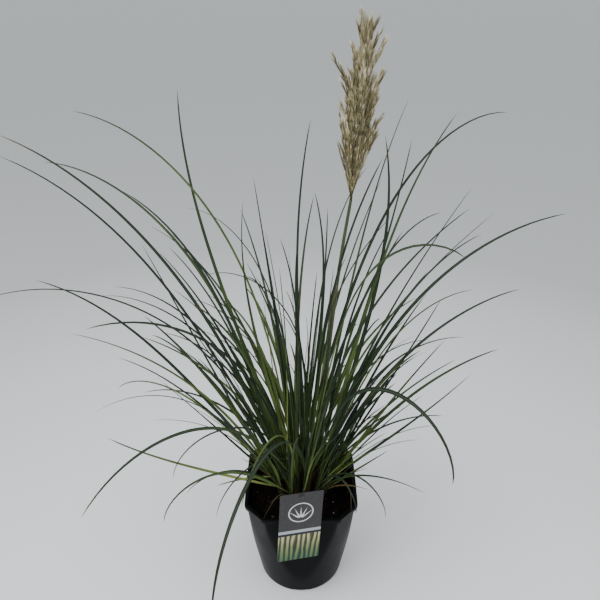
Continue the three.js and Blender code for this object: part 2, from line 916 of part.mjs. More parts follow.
function makeLabel() {

	const outline = new THREE.Shape();
	const corner = labelCorner;
	const left = - labelWidth / 2;
	const right = labelWidth / 2;
	const top = pinHoleBelowTop;
	const bottom = pinHoleBelowTop - labelHeight;
	outline.moveTo( left + corner, bottom );
	outline.lineTo( right - corner, bottom );
	outline.absarc( right - corner, bottom + corner, corner, - Math.PI / 2, 0 );
	outline.absarc( right - corner, top - corner, corner, 0, Math.PI / 2 );
	outline.absarc( left + corner, top - corner, corner, Math.PI / 2, Math.PI );
	outline.absarc( left + corner, bottom + corner, corner, Math.PI, Math.PI * 1.5 );
	const points = outline.getPoints( 3 ).slice( 0, - 1 );
	const loopAt = ( y ) => points.map( ( point ) => {

		return new THREE.Vector3( point.x, y, point.y ).applyMatrix4( labelFrame );

	} );
	return loft( [ loopAt( - labelThickness / 2 ), loopAt( labelThickness / 2 ) ] )
		.subtract( pegBar( [ - labelThickness, labelThickness ], [ pinHoleRadius, pinHoleRadius ] ) );

}

// A round bar across the label at its hole, from the front to the back.
function pegBar( depths, radii ) {

	return bar( depths.map( ( y ) => new THREE.Vector3( 0, y, 0 ).applyMatrix4( labelFrame ) ), radii, 12 );

}

function pinStake( grow = 0 ) {

	const foot = stakeFoot.clone();
	foot.z -= grow;
	const top = new THREE.Vector3( 0, stakeBehindLabel, 0 ).applyMatrix4( labelFrame );
	return bar( [ foot, top ], [ stakeRadius + grow, stakeRadius + grow ], 6 );

}

function makePin() {

	const headBack = - labelThickness / 2 - clearance;
	const headFront = headBack - pegHeadHeight;
	return fuse( [
		pinStake(),
		pegBar( [ headFront + clearance, stakeBehindLabel + 0.5 ], [ pegRadius, pegRadius ] ),
		pegBar( [ headFront, headBack ], [ pegHeadRadius * 0.9, pegHeadRadius ] )
	] );

}

// Assembly

const lot = makeLot( seed );
const shoots = makeShoots( lot );
const runs = [];

for ( const shoot of shoots ) {

	const top = shoot.foot.clone().addScaledVector( shoot.up, shoot.height );
	runs.push( roundRun( shoot.foot, top, shootRoom, shoot ) );

}

for ( let i = 0; i + 1 < culmPoints.length; i ++ ) {

	runs.push( roundRun( culmPoints[ i ], culmPoints[ i + 1 ], culmRoom, 'culm' ) );

}

plumeRoom.forEach( ( radius, i ) => {

	runs.push( roundRun( plumePoints[ i ], plumePoints[ i + 1 ], radius, 'plume' ) );

} );

const labelTop = new THREE.Vector3( 0, 0, pinHoleBelowTop ).applyMatrix4( labelFrame );
const labelFoot = new THREE.Vector3( 0, 0, pinHoleBelowTop - labelHeight ).applyMatrix4( labelFrame );
const labelSide = new THREE.Vector3( 1, 0, 0 ).transformDirection( labelFrame );
const labelFlat = new THREE.Vector3( 0, 1, 0 ).transformDirection( labelFrame );
runs.push( makeRun( labelTop, labelFoot, labelSide, labelFlat, labelWidth / 2, labelRoom, 'label' ) );
runs.push( roundRun( stakeFoot, labelPin, stakeRoom, 'label' ) );

growSeenBlades( shoots, runs );
growOtherBlades( shoots, runs, lot );

let soil = makeSoil().subtract( culmBar( clearance ) ).subtract( pinStake( clearance ) );
const greens = [ 0x46603f, 0x55693f, 0x3f5a44, 0x5e7148 ];

shoots.forEach( ( shoot, index ) => {

	soil = soil.subtract( shootCore( shoot, clearance ) );
	const blades = shoot.blades.map( ( blade ) => bladeSolid( blade.curve, blade.width ) );
	const number = String( index + 1 ).padStart( 2, '0' );
	addPart( `shoot_${ number }`, fuse( [ shootCore( shoot ), ...blades ] ), greens[ index % 4 ], 0.55 );

} );

addPart( 'pot', makePot(), 0x17191a, 0.32 );
addPart( 'soil', soil, 0x2c2019, 0.95 );
addPart( 'culm', culmBar(), 0x6d7c48, 0.5 );
addPart( 'plume', makePlume( makeLot( seed + 1 ) ), 0xab9a6f, 0.85 );
addPart( 'label', makeLabel(), 0x5a5f60, 0.45 );
addPart( 'label_pin', makePin(), 0x131415, 0.4 );

export default meshes;
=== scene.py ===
# Potted dwarf pampas grass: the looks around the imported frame, in millimetres until a mesh is made
import math

import bmesh
import bpy
import numpy as np
from mathutils import Matrix, Vector


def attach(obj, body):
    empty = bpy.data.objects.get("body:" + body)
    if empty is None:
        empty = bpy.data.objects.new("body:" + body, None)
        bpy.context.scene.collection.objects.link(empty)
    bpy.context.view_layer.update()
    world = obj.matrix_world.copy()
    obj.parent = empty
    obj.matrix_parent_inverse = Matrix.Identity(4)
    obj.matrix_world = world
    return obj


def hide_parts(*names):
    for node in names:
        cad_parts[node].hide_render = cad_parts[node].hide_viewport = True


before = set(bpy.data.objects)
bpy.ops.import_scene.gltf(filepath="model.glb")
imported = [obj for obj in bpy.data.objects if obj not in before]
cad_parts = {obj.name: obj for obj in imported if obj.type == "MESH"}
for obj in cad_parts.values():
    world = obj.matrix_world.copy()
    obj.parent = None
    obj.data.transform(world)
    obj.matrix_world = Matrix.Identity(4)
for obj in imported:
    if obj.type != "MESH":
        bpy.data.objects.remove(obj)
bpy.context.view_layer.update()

mm = 0.001
weldDistance = 0.01 * mm
print("frame loaded:", len(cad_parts), "nodes")


# Small helpers for meshes

def lerp(low, high, t):
    return (1 - t) * low + t * high


def smoothstep(x, low, high):
    t = np.clip((x - low) / (high - low), 0, 1)
    return t * t * (3 - 2 * t)


def unit(vector):
    return vector / np.linalg.norm(vector, axis=-1, keepdims=True)


def fullTurn(count):
    return np.arange(count) * math.tau / count


def circle(radius, sides):
    return [(radius * math.cos(turn), radius * math.sin(turn)) for turn in fullTurn(sides)]


def linkObject(name, data, collection=None):
    made = bpy.data.objects.new(name, data)
    (collection or bpy.context.scene.collection).objects.link(made)
    return made


def makeObject(name, points, faces=(), edges=(), smooth=True, collection=None):
    mesh = bpy.data.meshes.new(name)
    mesh.from_pydata([tuple(point) for point in np.asarray(points) * mm], list(edges), list(faces))
    if smooth and len(mesh.polygons):
        mesh.shade_smooth()
    return linkObject(name, mesh, collection)


# One number or one vector for every point
def storeValues(owner, name, values):
    values = np.asarray(values, float)
    kind, key = ("FLOAT_VECTOR", "vector") if values.ndim > 1 else ("FLOAT", "value")
    owner.data.attributes.new(name, kind, "POINT").data.foreach_set(key, values.ravel())


# Joins loops of points into quads. Each end is closed with a fan to its own middle.
def loftLoops(loops, startPoint=None, endPoint=None):
    sides = len(loops[0])
    points = [point for loop in loops for point in loop]
    faces = []
    for i in range(len(loops) - 1):
        for k in range(sides):
            a, b = i * sides + k, i * sides + (k + 1) % sides
            faces.append((a, b, b + sides, a + sides))
    last = (len(loops) - 1) * sides
    points.append(np.mean(loops[0], axis=0) if startPoint is None else startPoint)
    points.append(np.mean(loops[-1], axis=0) if endPoint is None else endPoint)
    for k in range(sides):
        faces.append((len(points) - 2, (k + 1) % sides, k))
        faces.append((len(points) - 1, last + k, last + (k + 1) % sides))
    return points, faces


def faceOutward(made):
    bm = bmesh.new()
    bm.from_mesh(made.data)
    bmesh.ops.remove_doubles(bm, verts=bm.verts, dist=weldDistance)
    bmesh.ops.recalc_face_normals(bm, faces=bm.faces)
    bm.to_mesh(made.data)
    bm.free()
    return made


def applyModifiers(made):
    depsgraph = bpy.context.evaluated_depsgraph_get()
    mesh = bpy.data.meshes.new_from_object(
        made.evaluated_get(depsgraph), preserve_all_data_layers=True, depsgraph=depsgraph)
    made.modifiers.clear()
    old = made.data
    made.data = mesh
    mesh.name = made.name
    bpy.data.meshes.remove(old)


def discard(*objects):
    for made in objects:
        mesh = made.data
        bpy.data.objects.remove(made)
        if mesh and mesh.users == 0:
            bpy.data.meshes.remove(mesh)


def cutAway(piece, cutters):
    for cutter in cutters:
        modifier = piece.modifiers.new("cut", "BOOLEAN")
        modifier.operation = "DIFFERENCE"
        modifier.solver = "EXACT"
        modifier.object = cutter
    applyModifiers(piece)
    discard(*cutters)


def finishPiece(piece, slot, *replaced):
    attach(piece, "root")
    if replaced:
        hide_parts(*replaced)
    print("  piece", piece.name, len(piece.data.polygons), "faces")


# Small helpers for materials and node trees

def colour(code):
    parts = [int(code[i:i + 2], 16) / 255 for i in (0, 2, 4)]
    return [part / 12.92 if part <= 0.04045 else ((part + 0.055) / 1.055) ** 2.4 for part in parts] + [1]


def addNode(tree, kind, inputs=None, **settings):
    made = tree.nodes.new(kind)
    for key, value in settings.items():
        setattr(made, key, value)
    for key, value in (inputs or {}).items():
        value = getattr(value, "socket", value)
        if isinstance(value, bpy.types.NodeSocket):
            tree.links.new(value, made.inputs[key])
        else:
            made.inputs[key].default_value = value
    return made


# A node's output that is added, multiplied and so on like a number.
class Value:
    def __init__(self, tree, socket):
        self.tree, self.socket = tree, socket

    def math(self, operation, other=0.0, clamp=False, swap=False):
        inputs = {0: other, 1: self} if swap else {0: self, 1: other}
        made = addNode(self.tree, "ShaderNodeMath", inputs, operation=operation, use_clamp=clamp)
        return Value(self.tree, made.outputs[0])

    def __add__(self, other):
        return self.math("ADD", other)

    def __sub__(self, other):
        return self.math("SUBTRACT", other)

    def __rsub__(self, other):
        return self.math("SUBTRACT", other, swap=True)

    def __mul__(self, other):
        return self.math("MULTIPLY", other)

    def __truediv__(self, other):
        return self.math("DIVIDE", other)

    # times a factor, and kept between 0 and 1
    def clamped(self, factor):
        return self.math("MULTIPLY", factor, clamp=True)


# A material as it is put together. A shade is a colour code, and in a ramp a plain number too.
class Surface:
    def __init__(self, name, **values):
        self.material = bpy.data.materials.new(name)
        self.material.use_nodes = True
        self.tree = self.material.node_tree
        self.shader = self.tree.nodes["Principled BSDF"]
        for key, value in values.items():
            self.shader.inputs[key.replace("_", " ")].default_value = value

    def output(self, kind, output=0, inputs=None, **settings):
        return Value(self.tree, addNode(self.tree, kind, inputs, **settings).outputs[output])

    def place(self, output="Object"):
        return self.output("ShaderNodeTexCoord", output)

    def attributes(self, *names):
        return [self.output("ShaderNodeAttribute", "Fac", attribute_type="GEOMETRY", attribute_name=name)
            for name in names]

    def noise(self, vector, scale, detail=3, roughness=0.55, distortion=0):
        return self.output("ShaderNodeTexNoise", 0, {"Vector": vector, "Scale": scale,
            "Detail": detail, "Roughness": roughness, "Distortion": distortion})

    def wave(self, vector, scale, distortion, detail, detailScale):
        return self.output("ShaderNodeTexWave", "Fac", {"Vector": vector, "Scale": scale,
            "Distortion": distortion, "Detail": detail, "Detail Scale": detailScale})

    def stretched(self, vector, scale, turn=(0, 0, 0)):
        return self.output("ShaderNodeMapping", 0, {"Vector": vector, "Scale": scale, "Rotation": turn})

    def ramp(self, value, stops):
        made = addNode(self.tree, "ShaderNodeValToRGB", {0: value})
        elements = made.color_ramp.elements
        while len(elements) < len(stops):
            elements.new(0.5)
        for element, (place, shade) in zip(elements, stops):
            element.position = place
            element.color = colour(shade) if isinstance(shade, str) else [shade, shade, shade, 1]
        return Value(self.tree, made.outputs[0])

    def mix(self, factor, first, second, blend="MIX"):
        second = colour(second) if isinstance(second, str) else second
        inputs = {0: factor, 6: first, 7: second}
        return self.output("ShaderNodeMix", 2, inputs, data_type="RGBA", blend_type=blend)

    def bump(self, height, strength, depth):
        inputs = {"Height": height, "Strength": strength, "Distance": depth * mm}
        return self.output("ShaderNodeBump", 0, inputs)

    def connect(self, **values):
        for key, value in values.items():
            self.tree.links.new(value.socket, self.shader.inputs[key.replace("_", " ")])
        return self.material


# Geometry node trees

def newGeometryTree(name, **inputs):
    tree = bpy.data.node_groups.new(name, "GeometryNodeTree")
    for label, kind in {"Geometry": "Geometry", **inputs, "Material": "Material"}.items():
        tree.interface.new_socket(label, in_out="INPUT", socket_type="NodeSocket" + kind)
    tree.interface.new_socket("Geometry", in_out="OUTPUT", socket_type="NodeSocketGeometry")
    return tree, tree.nodes.new("NodeGroupInput").outputs


def endTree(tree, source, geometry):
    real = addNode(tree, "GeometryNodeRealizeInstances", {"Geometry": geometry})
    dressed = addNode(tree, "GeometryNodeSetMaterial", {
        "Geometry": real.outputs[0], "Material": source["Material"]})
    addNode(tree, "NodeGroupOutput", {0: dressed.outputs[0]})
    return tree


def growWith(owner, tree, **values):
    modifier = owner.modifiers.new(tree.name, "NODES")
    modifier.node_group = tree
    labels = {item.name: item.identifier for item in tree.interface.items_tree if item.in_out == "INPUT"}
    for label, value in values.items():
        modifier[labels[label]] = value
    applyModifiers(owner)
    return owner


def namedField(tree, name, kind="FLOAT"):
    return addNode(tree, "GeometryNodeInputNamedAttribute", {"Name": name}, data_type=kind).outputs[0]


# Sweeps a cross-section along every chain of edges. Each point carries its breadth and the way its face looks.
def makeSweepTree():
    tree, source = newGeometryTree("sweep", Section="Object")
    curve = addNode(tree, "GeometryNodeMeshToCurve", {"Mesh": source["Geometry"]})
    factor = addNode(tree, "GeometryNodeSplineParameter")
    marked = addNode(tree, "GeometryNodeStoreNamedAttribute", {
        "Geometry": curve.outputs[0], "Name": "along", "Value": factor.outputs["Factor"]},
        data_type="FLOAT", domain="POINT")
    turned = addNode(tree, "GeometryNodeSetCurveNormal", {"Curve": marked.outputs[0]}, mode="FREE")
    tree.links.new(namedField(tree, "face", "FLOAT_VECTOR"), turned.inputs["Normal"])
    info = addNode(tree, "GeometryNodeObjectInfo", {"Object": source["Section"]})
    section = addNode(tree, "GeometryNodeMeshToCurve", {"Mesh": info.outputs["Geometry"]})
    swept = addNode(tree, "GeometryNodeCurveToMesh", {
        "Curve": turned.outputs[0], "Profile Curve": section.outputs[0], "Scale": namedField(tree, "breadth"),
        "Fill Caps": True})
    return endTree(tree, source, swept.outputs[0])


# Puts one of several small shapes on every point, along its own way and at its own size.
def makeScatterTree():
    tree, source = newGeometryTree("scatter", Shapes="Collection", Seed="Int")
    shapes = addNode(tree, "GeometryNodeCollectionInfo", {
        "Collection": source["Shapes"], "Separate Children": True, "Reset Children": True})
    turn = addNode(tree, "FunctionNodeAxesToRotation", {
        "Primary Axis": namedField(tree, "way", "FLOAT_VECTOR"),
        "Secondary Axis": namedField(tree, "face", "FLOAT_VECTOR")},
        primary_axis="Z", secondary_axis="X")
    # inputs 4 and 5 are the lowest and highest whole number
    pick = addNode(tree, "FunctionNodeRandomValue", {4: 0, 5: 1000, "Seed": source["Seed"]}, data_type="INT")
    placed = addNode(tree, "GeometryNodeInstanceOnPoints", {
        "Points": source["Geometry"], "Instance": shapes.outputs[0], "Pick Instance": True,
        "Instance Index": pick.outputs[2], "Rotation": turn.outputs[0], "Scale": namedField(tree, "size")})
    return endTree(tree, source, placed.outputs[0])


sweepTree = makeSweepTree()
scatterTree = makeScatterTree()


# A closed cross-section in the plane of the face (x) and the side (y), one unit broad.
def makeSection(name, outline):
    count = len(outline)
    points = [(x / mm, y / mm, 0) for x, y in outline]
    section = makeObject(name, points, edges=[(i, (i + 1) % count) for i in range(count)])
    storeValues(section, "across", [y for x, y in outline])
    return section


def roundSection(name, sides):
    return makeSection(name, circle(0.5, sides))


# Chains of points for the sweep tree, with one value of each sort for every point.
class Chains:
    def __init__(self):
        self.points, self.edges, self.breadths, self.faces, self.values = [], [], [], [], {}

    def add(self, points, breadths, faces, **values):
        first, count = len(self.points), len(points)
        self.points += [tuple(point) for point in points]
        self.edges += [(first + i, first + i + 1) for i in range(count - 1)]
        self.breadths += list(np.broadcast_to(breadths, count))
        self.faces += [tuple(face) for face in np.broadcast_to(faces, (count, 3))]
        for name, value in values.items():
            self.values.setdefault(name, []).extend(np.broadcast_to(value, count))

    def grow(self, name, section, material):
        owner = makeObject(name, self.points, edges=self.edges)
        storeValues(owner, "breadth", np.array(self.breadths) * mm)
        storeValues(owner, "face", self.faces)
        for key, values in self.values.items():
            storeValues(owner, key, values)
        growWith(owner, sweepTree, Section=section, Material=material)
        owner.data.shade_smooth()
        return owner


# Camera, floor and light

cameraPlace = {"lens": 37.2, "sensor": 36, "place": (-1.6, -728, 884), "pitch": 28.1, "clipEnd": 100000}
# the floor's near and far shades and their fade are a painted pool of light around the pot
studio = {"floorSize": 160000, "nearPaintedLight": "eeeff1", "farPaintedShade": "c3c6c6", "fade": (450, 1350),
    "skyShade": "ebeef0", "skyStrength": 1, "aim": (0, 0, 300)}
softLights = {
    "key light": {"power": 26, "size": 1600, "place": (-900, -700, 1900)},
    "fill light": {"power": 9, "size": 1800, "place": (1500, -900, 1300)}}


def makeCamera():
    data = bpy.data.cameras.new("camera")
    data.lens = cameraPlace["lens"]
    data.sensor_width = cameraPlace["sensor"]
    data.clip_end = cameraPlace["clipEnd"] * mm
    made = linkObject("camera", data)
    made.location = Vector(cameraPlace["place"]) * mm
    made.rotation_euler = (math.radians(90 - cameraPlace["pitch"]), 0, 0)
    bpy.context.scene.camera = made


def makeSoftLight(name, power, size, place):
    data = bpy.data.lights.new(name, "AREA")
    data.shape = "DISK"
    data.size = size * mm
    data.energy = power
    made = linkObject(name, data)
    made.location = Vector(place) * mm
    made.rotation_euler = (Vector(studio["aim"]) - Vector(place)).to_track_quat("-Z", "Y").to_euler()


def makeStudio():
    half = studio["floorSize"] / 2
    corners = [(-half, -half, 0), (half, -half, 0), (half, half, 0), (-half, half, 0)]
    floor = makeObject("floor", corners, [(0, 1, 2, 3)])
    pale = Surface("pale floor", Roughness=0.6)
    # painted light: the floor is painted palest around the pot and greyer further out, a pool of light fading
    # into painted shade
    distance = pale.output("ShaderNodeVectorMath", "Value", {0: pale.place()}, operation="LENGTH")
    near, far = (reach * mm for reach in studio["fade"])
    shade = pale.ramp((distance - near) / (far - near), [(0, studio["nearPaintedLight"]), (1, studio["farPaintedShade"])])
    floor.data.materials.append(pale.connect(Base_Color=shade))
    world = bpy.data.worlds.new("studio")
    world.use_nodes = True
    sky = world.node_tree.nodes["Background"]
    sky.inputs["Color"].default_value = colour(studio["skyShade"])
    sky.inputs["Strength"].default_value = studio["skyStrength"]
    bpy.context.scene.world = world
    for name, light in softLights.items():
        makeSoftLight(name, **light)


makeCamera()
makeStudio()
print("camera, floor and light")


# The clump: where its shoots stand and how its blades grow, by the same rule and lots as the frame

potShape = {"height": 178, "rimWidth": 171, "cornerCut": 29, "baseRadius": 67, "coneTop": 99,
    "sideFlatFoot": 71.5, "cornerFlatFoot": 72, "wall": 1.5, "floor": 4, "lipWidth": 4.5, "lipHeight": 8,
    "footRound": 2, "lipRound": 0.8,
    "drainWidth": 23, "drainHeight": 2.4, "drainStart": 38, "drainHole": 5, "drainHoleAt": 47}
soilShape = {"top": 153, "bump": 1.8, "grain": 2.6, "waves": (0.13, 0.11, 0.23)}
clump = {"seed": 7, "centre": (2.5, 1), "stretch": (1.1, 0.95), "footRadius": 3.8, "topRadius": 2.2,
    "stemPlace": (2, 0), "leanSpread": 4, "heightShare": (0.85, 0.3), "rootStep": 0.618,
    "shootRoom": 4, "culmRoom": 3.6, "plumeRoom": (26, 30, 20), "labelRoom": 4, "stakeRoom": 3, "gap": 0.8}
shootRings = [
    {"count": 5, "radius": 9.5, "turn": 18, "lean": 3, "height": 78, "blades": 6},
    {"count": 9, "radius": 20.5, "turn": 10, "lean": 9, "height": 62, "blades": 7},
    {"count": 14, "radius": 31.5, "turn": 40, "lean": 17, "height": 44, "blades": 5}]
bladeRule = {"piece": 115, "pieceDroop": 50, "leastPieces": 3, "fine": 5, "halfThickness": 1,
    "rootWidth": 0.62, "tipWidth": 0.12, "widestAt": 0.3, "taper": 0.8, "tries": 60,
    "late": (1.2, 3.4), "width": (3.5, 6.5), "sway": 36, "roots": (0.25, 0.95), "fanTurn": 12,
    "seenRoots": (0.5, 0.95), "seenTurns": 13, "seenTurn": 2, "seenShoots": 3, "seenCrowding": 14,
    "front": {"turn": 10, "slope": 12, "length": 0.3, "droop": 0.6},
    "back": {"slope": 8, "length": 0.1, "droop": 25}}
otherBlades = [
    {"slope": (78, 91), "length": (340, 500), "droop": (0, 60), "spread": 170},
    {"slope": (69, 87), "length": (280, 470), "droop": (5, 75), "spread": 120},
    {"slope": (60, 82), "length": (200, 370), "droop": (5, 80), "spread": 80}]
# how far blades keep out of the pot's walls and rim, the ground and the label
keepClear = {"potReach": 104, "rimReach": 62, "intoSoil": 3, "overRim": 6, "overGround": 15,
    "labelHalf": 40, "labelFront": -70, "labelTop": 250}
culmPoints = [(29.5, 17.5, 139), (31.5, 18.5, 230), (39.5, 22, 407), (54, 25, 557), (63, 27, 625)]
plumePoints = [(63, 27, 625.3), (67.5, 29, 700), (73, 31, 775), (67, 32, 840)]
labelCard = {"width": 62.5, "height": 131.5, "thickness": 0.8, "corner": 2, "gap": 0.3,
    "yaw": -13.3, "roll": -2.7, "pin": (1.1, -96, 237.4), "holeBelowTop": 6, "holeRadius": 2.4,
    "pegRadius": 2, "headRadius": 4, "headHeight": 1.3,
    "stakeRadius": 2.2, "stakeBehind": 4.5, "stakeFoot": (1.1, -58, 133)}

# ring of shoots, compass direction, first slope, length, droop, how late the droop comes, width
seenBlades = [
    # left fan
    (1, 170, 70, 650, 51, 2.2, 5.5),
    (1, 188, 68, 615, 41, 3.4, 5.5),
    (1, 175, 77, 405, 30, 3, 6),
    (0, 165, 82, 655, 76, 2.6, 5.5),
    (1, 162, 71, 590, -22, 3.6, 6),
    (1, 165, 75, 610, 76, 2.6, 5),
    (1, 178, 75, 490, 43, 4, 5),
    (0, 155, 83, 475, 90, 4, 5),
    (0, 165, 75, 450, -24, 3, 6),
    (0, 115, 88, 350, 50, 3.5, 4.5),
    (0, 10, 94, 545, 15, 3, 5),
    (2, 170, 66, 430, 0, 2, 3.5),
    (0, 175, 95, 412, 124, 3.2, 5),
    (1, 195, 70.5, 560, 88, 2.3, 6),
    (2, 185, 58, 480, 38, 3.8, 5),
    (1, 170, 64, 410, 73, 2.5, 5),
    (1, 205, 77, 475, 83, 2.4, 6.5),
    (2, 188, 66, 400, 48, 1.6, 5.5),
    (2, 170, 48, 310, 36, 2.8, 3.5),
    (2, 176, 64, 256, 22, 2.4, 5.5),
    (2, 165, 46, 320, 94, 3.2, 4),
    (2, 210, 65, 385, 85, 3.2, 5),
    (2, 182, 52, 262, 2, 1, 4.5),
    (2, 200, 32, 290, -14, 3, 4.5),
    (1, 230, 60, 450, 104, 2.4, 5.5),
    (2, 216, 50, 270, 136, 3, 4.5),
    (2, 205, 53, 182, 104, 2.1, 4),
    (1, 205, 78, 260, 160, 1.5, 3.5),
    (1, 222, 88, 225, 165, 1.2, 3.5),
    (1, 250, 73, 470, 160, 1.7, 7.5),
    (1, 250, 78, 290, 138, 1.9, 3.5),
    (2, 205, 25, 95, 25, 1, 3.5),
    (0, 140, 92, 330, 42, 1.4, 4.5),
    # right fan
    (1, 5, 74, 560, 65, 2.1, 6.5),
    (1, 55, 72.5, 590, 28, 3, 5),
    (1, 20, 74, 520, -30, 3, 7),
    (0, 45, 78, 452, 24, 1.8, 3.5),
    (1, 35, 69, 505, -10, 2.2, 4.5),
    (1, 25, 76.5, 575, 28, 4, 5.5),
    (0, 20, 75, 615, 82, 3.8, 5),
    (1, 35, 79.5, 480, 86, 3.4, 4.5),
    (1, 10, 77, 480, 20, 1, 6),
    (0, 350, 75, 480, 28, 1.3, 5),
    (1, 25, 69, 445, 56, 2.5, 4.5),
    (0, 330, 81, 510, 112, 5, 7),
    (1, 15, 71, 390, 68, 3.2, 4),
    (0, 55, 83, 420, -6, 2, 4.5),
    (0, 180, 97, 455, 22, 4, 5),
    (0, 10, 91, 415, 44, 1.8, 3.5),
    (0, 50, 83, 470, 58, 4, 3.5),
    (1, 0, 71, 325, 75, 2.6, 4.5),
    (1, 350, 73, 325, 70, 4, 4.5),
    (2, 352, 64, 315, 6, 1.4, 5),
    (2, 0, 56, 342, 34, 2.2, 5.5),
    (2, 15, 59, 270, 36, 1.1, 4),
    (2, 345, 49, 295, -8, 2.6, 4.5),
    (1, 306, 73.5, 462, 168, 3, 8),
    (1, 355, 73, 220, 23, 1, 7.5),
    (1, 340, 74, 240, 22, 1, 7.5),
    (1, 30, 61, 290, 30, 1.5, 4.5),
    (2, 5, 63, 345, -3, 2, 4.5),
    (2, 15, 57, 215, 75, 1, 4),
    (2, 350, 45, 130, 0, 1.5, 4),
    (2, 312, 62, 205, 160, 2.6, 4.5),
    (2, 330, 52, 172, 62, 1, 4.5),
    (2, 297, 60, 165, 160, 3, 4),
    (0, 35, 88, 330, 4, 1.5, 4)]

# Numbers by lot, the same ones on every run
class Lot:
    def __init__(self, start):
        self.state = start & 0xFFFFFFFF

    def draw(self):
        self.state = (self.state + 0x6D2B79F5) & 0xFFFFFFFF
        mix = self.state
        mix = ((mix ^ (mix >> 15)) * (mix | 1)) & 0xFFFFFFFF
        mix = (mix ^ (mix + (((mix ^ (mix >> 7)) * (mix | 61)) & 0xFFFFFFFF))) & 0xFFFFFFFF
        return (mix ^ (mix >> 14)) / 4294967296

    def within(self, limits):
        return limits[0] + (limits[1] - limits[0]) * self.draw()

    def around(self, spread):
        return spread * (self.draw() - 0.5)

    def above(self, start, spread):
        return start + spread * self.draw()


def wayOf(slope, heading):
    slope, heading = np.radians(slope), np.radians(heading)
    return np.stack([np.cos(slope) * np.cos(heading), np.cos(slope) * np.sin(heading), np.sin(slope)], -1)


# Points, sides and faces along a blade. The frame's blade has the same line in fewer, straight pieces.
def bladeLine(root, blade):
    pieces = blade["length"] / bladeRule["piece"] + abs(blade["droop"]) / bladeRule["pieceDroop"]
    steps = max(bladeRule["leastPieces"], math.floor(pieces + 0.5) + 1)
    total = steps * bladeRule["fine"]
    t = (np.arange(total) + 0.5) / total
    slope = blade["slope"] - blade["droop"] * t ** blade["late"]
    heading = blade["heading"] + blade["sway"] * t * t
    along = wayOf(slope, heading)
    points = np.vstack([root, root + np.cumsum(along, axis=0) * blade["length"] / total])
    heading = np.radians(heading)
    sides = np.stack([-np.sin(heading), np.cos(heading), np.zeros(total)], -1)
    return points, along, sides, np.cross(along, sides), steps


def bladeWidth(t, width, taper=bladeRule["taper"]):
    t, widest = np.asarray(t, float), bladeRule["widestAt"]
    opening = lerp(bladeRule["rootWidth"], 1, t / widest)
    closing = lerp(bladeRule["tipWidth"], 1, (np.clip(1 - t, 0, 1) / (1 - widest)) ** taper)
    return width * np.where(t < widest, opening, closing)


# A straight run has 16 numbers: start, line, side, face, half width, half thickness, owner, at its root
runNumbers = 16


def columnsOf(runs):
    return runs[:, :3], runs[:, 3:6], runs[:, 6:9], runs[:, 9:12], *runs[:, 12:].T


def makeRuns(points, sides, faces, halfWidths, halfThickness, owner, rooted=False):
    runs = np.zeros((len(points) - 1, runNumbers))
    values = points[:-1], np.diff(points, axis=0), sides, faces, halfWidths, halfThickness, owner
    for column, value in zip(columnsOf(runs), values):
        column[:] = value
    runs[0, -1] = rooted
    return runs


# The runs that blades keep clear of
class Room:
    def __init__(self):
        self.runs = np.zeros((0, runNumbers))

    def add(self, runs):
        self.runs = np.vstack([self.runs, runs])

    # whether a new run comes too near to an old one, at the closest points of their two lines
    def crowded(self, runs):
        start, line, side, face, half, thin, owner, rooted = columnsOf(runs)
        start2, line2, side2, face2, half2, thin2, owner2, rooted2 = columnsOf(self.runs)
        joined = (owner[:, None] == owner2) & ((rooted[:, None] > 0) | (rooted2 > 0))
        a = (line ** 2).sum(1)[:, None]
        e = (line2 ** 2).sum(1)
        b = line @ line2.T
        way = start[:, None] - start2
        c = np.einsum("mk,mnk->mn", line, way)
        f = np.einsum("nk,mnk->mn", line2, way)
        spread, tiny = a * e - b * b, 1e-9
        s = np.where(spread > tiny, np.clip((b * f - c * e) / np.maximum(spread, tiny), 0, 1), 0.5)
        t = np.clip((b * s + f) / e, 0, 1)
        s = np.clip((b * t - c) / a, 0, 1)
        t = np.clip((b * s + f) / e, 0, 1)
        way = way + s[..., None] * line[:, None] - t[..., None] * line2
        distance = np.linalg.norm(way, axis=-1)
        way = way / np.maximum(distance, tiny)[..., None]
        needed = clump["gap"]
        for axes, reach in (side, half), (face, thin):
            needed = needed + np.abs(np.einsum("mnk,mk->mn", way, axes)) * reach[:, None]
        for axes, reach in (side2, half2), (face2, thin2):
            needed = needed + np.abs(np.einsum("mnk,nk->mn", way, axes)) * reach
        return bool(((distance < needed) & ~joined).any())


def bladeRuns(line, width, owner):
    points, along, sides, faces, steps = line
    fine, thin = bladeRule["fine"], bladeRule["halfThickness"]
    ends = bladeWidth(np.arange(steps + 1) / steps, width)
    middle = slice((fine - 1) // 2, None, fine)
    halves = np.maximum(ends[:-1], ends[1:]) / 2
    return makeRuns(points[::fine], sides[middle], faces[middle], halves, thin, owner, True)


def makeShoots(lot):
    shoots = []
    for ringIndex, ring in enumerate(shootRings):
        for k in range(ring["count"]):
            if (ringIndex, k) == clump["stemPlace"]:
                continue
            heading = ring["turn"] + 360 * k / ring["count"]
            angle = math.radians(heading)
            foot = np.array([
                clump["centre"][0] + clump["stretch"][0] * ring["radius"] * math.cos(angle),
                clump["centre"][1] + clump["stretch"][1] * ring["radius"] * math.sin(angle),
                soilShape["top"]])
            lean = ring["lean"] + lot.around(clump["leanSpread"])
            height = ring["height"] * lot.above(*clump["heightShare"])
            shoots.append({"index": len(shoots), "ring": ringIndex, "heading": heading % 360, "foot": foot,
                "up": wayOf(90 - lean, heading), "height": height, "blades": []})
    return shoots


def rootOn(shoot, limits):
    share = limits[0] + (limits[1] - limits[0]) * (len(shoot["blades"]) * clump["rootStep"] % 1)
    return shoot["foot"] + shoot["up"] * shoot["height"] * share


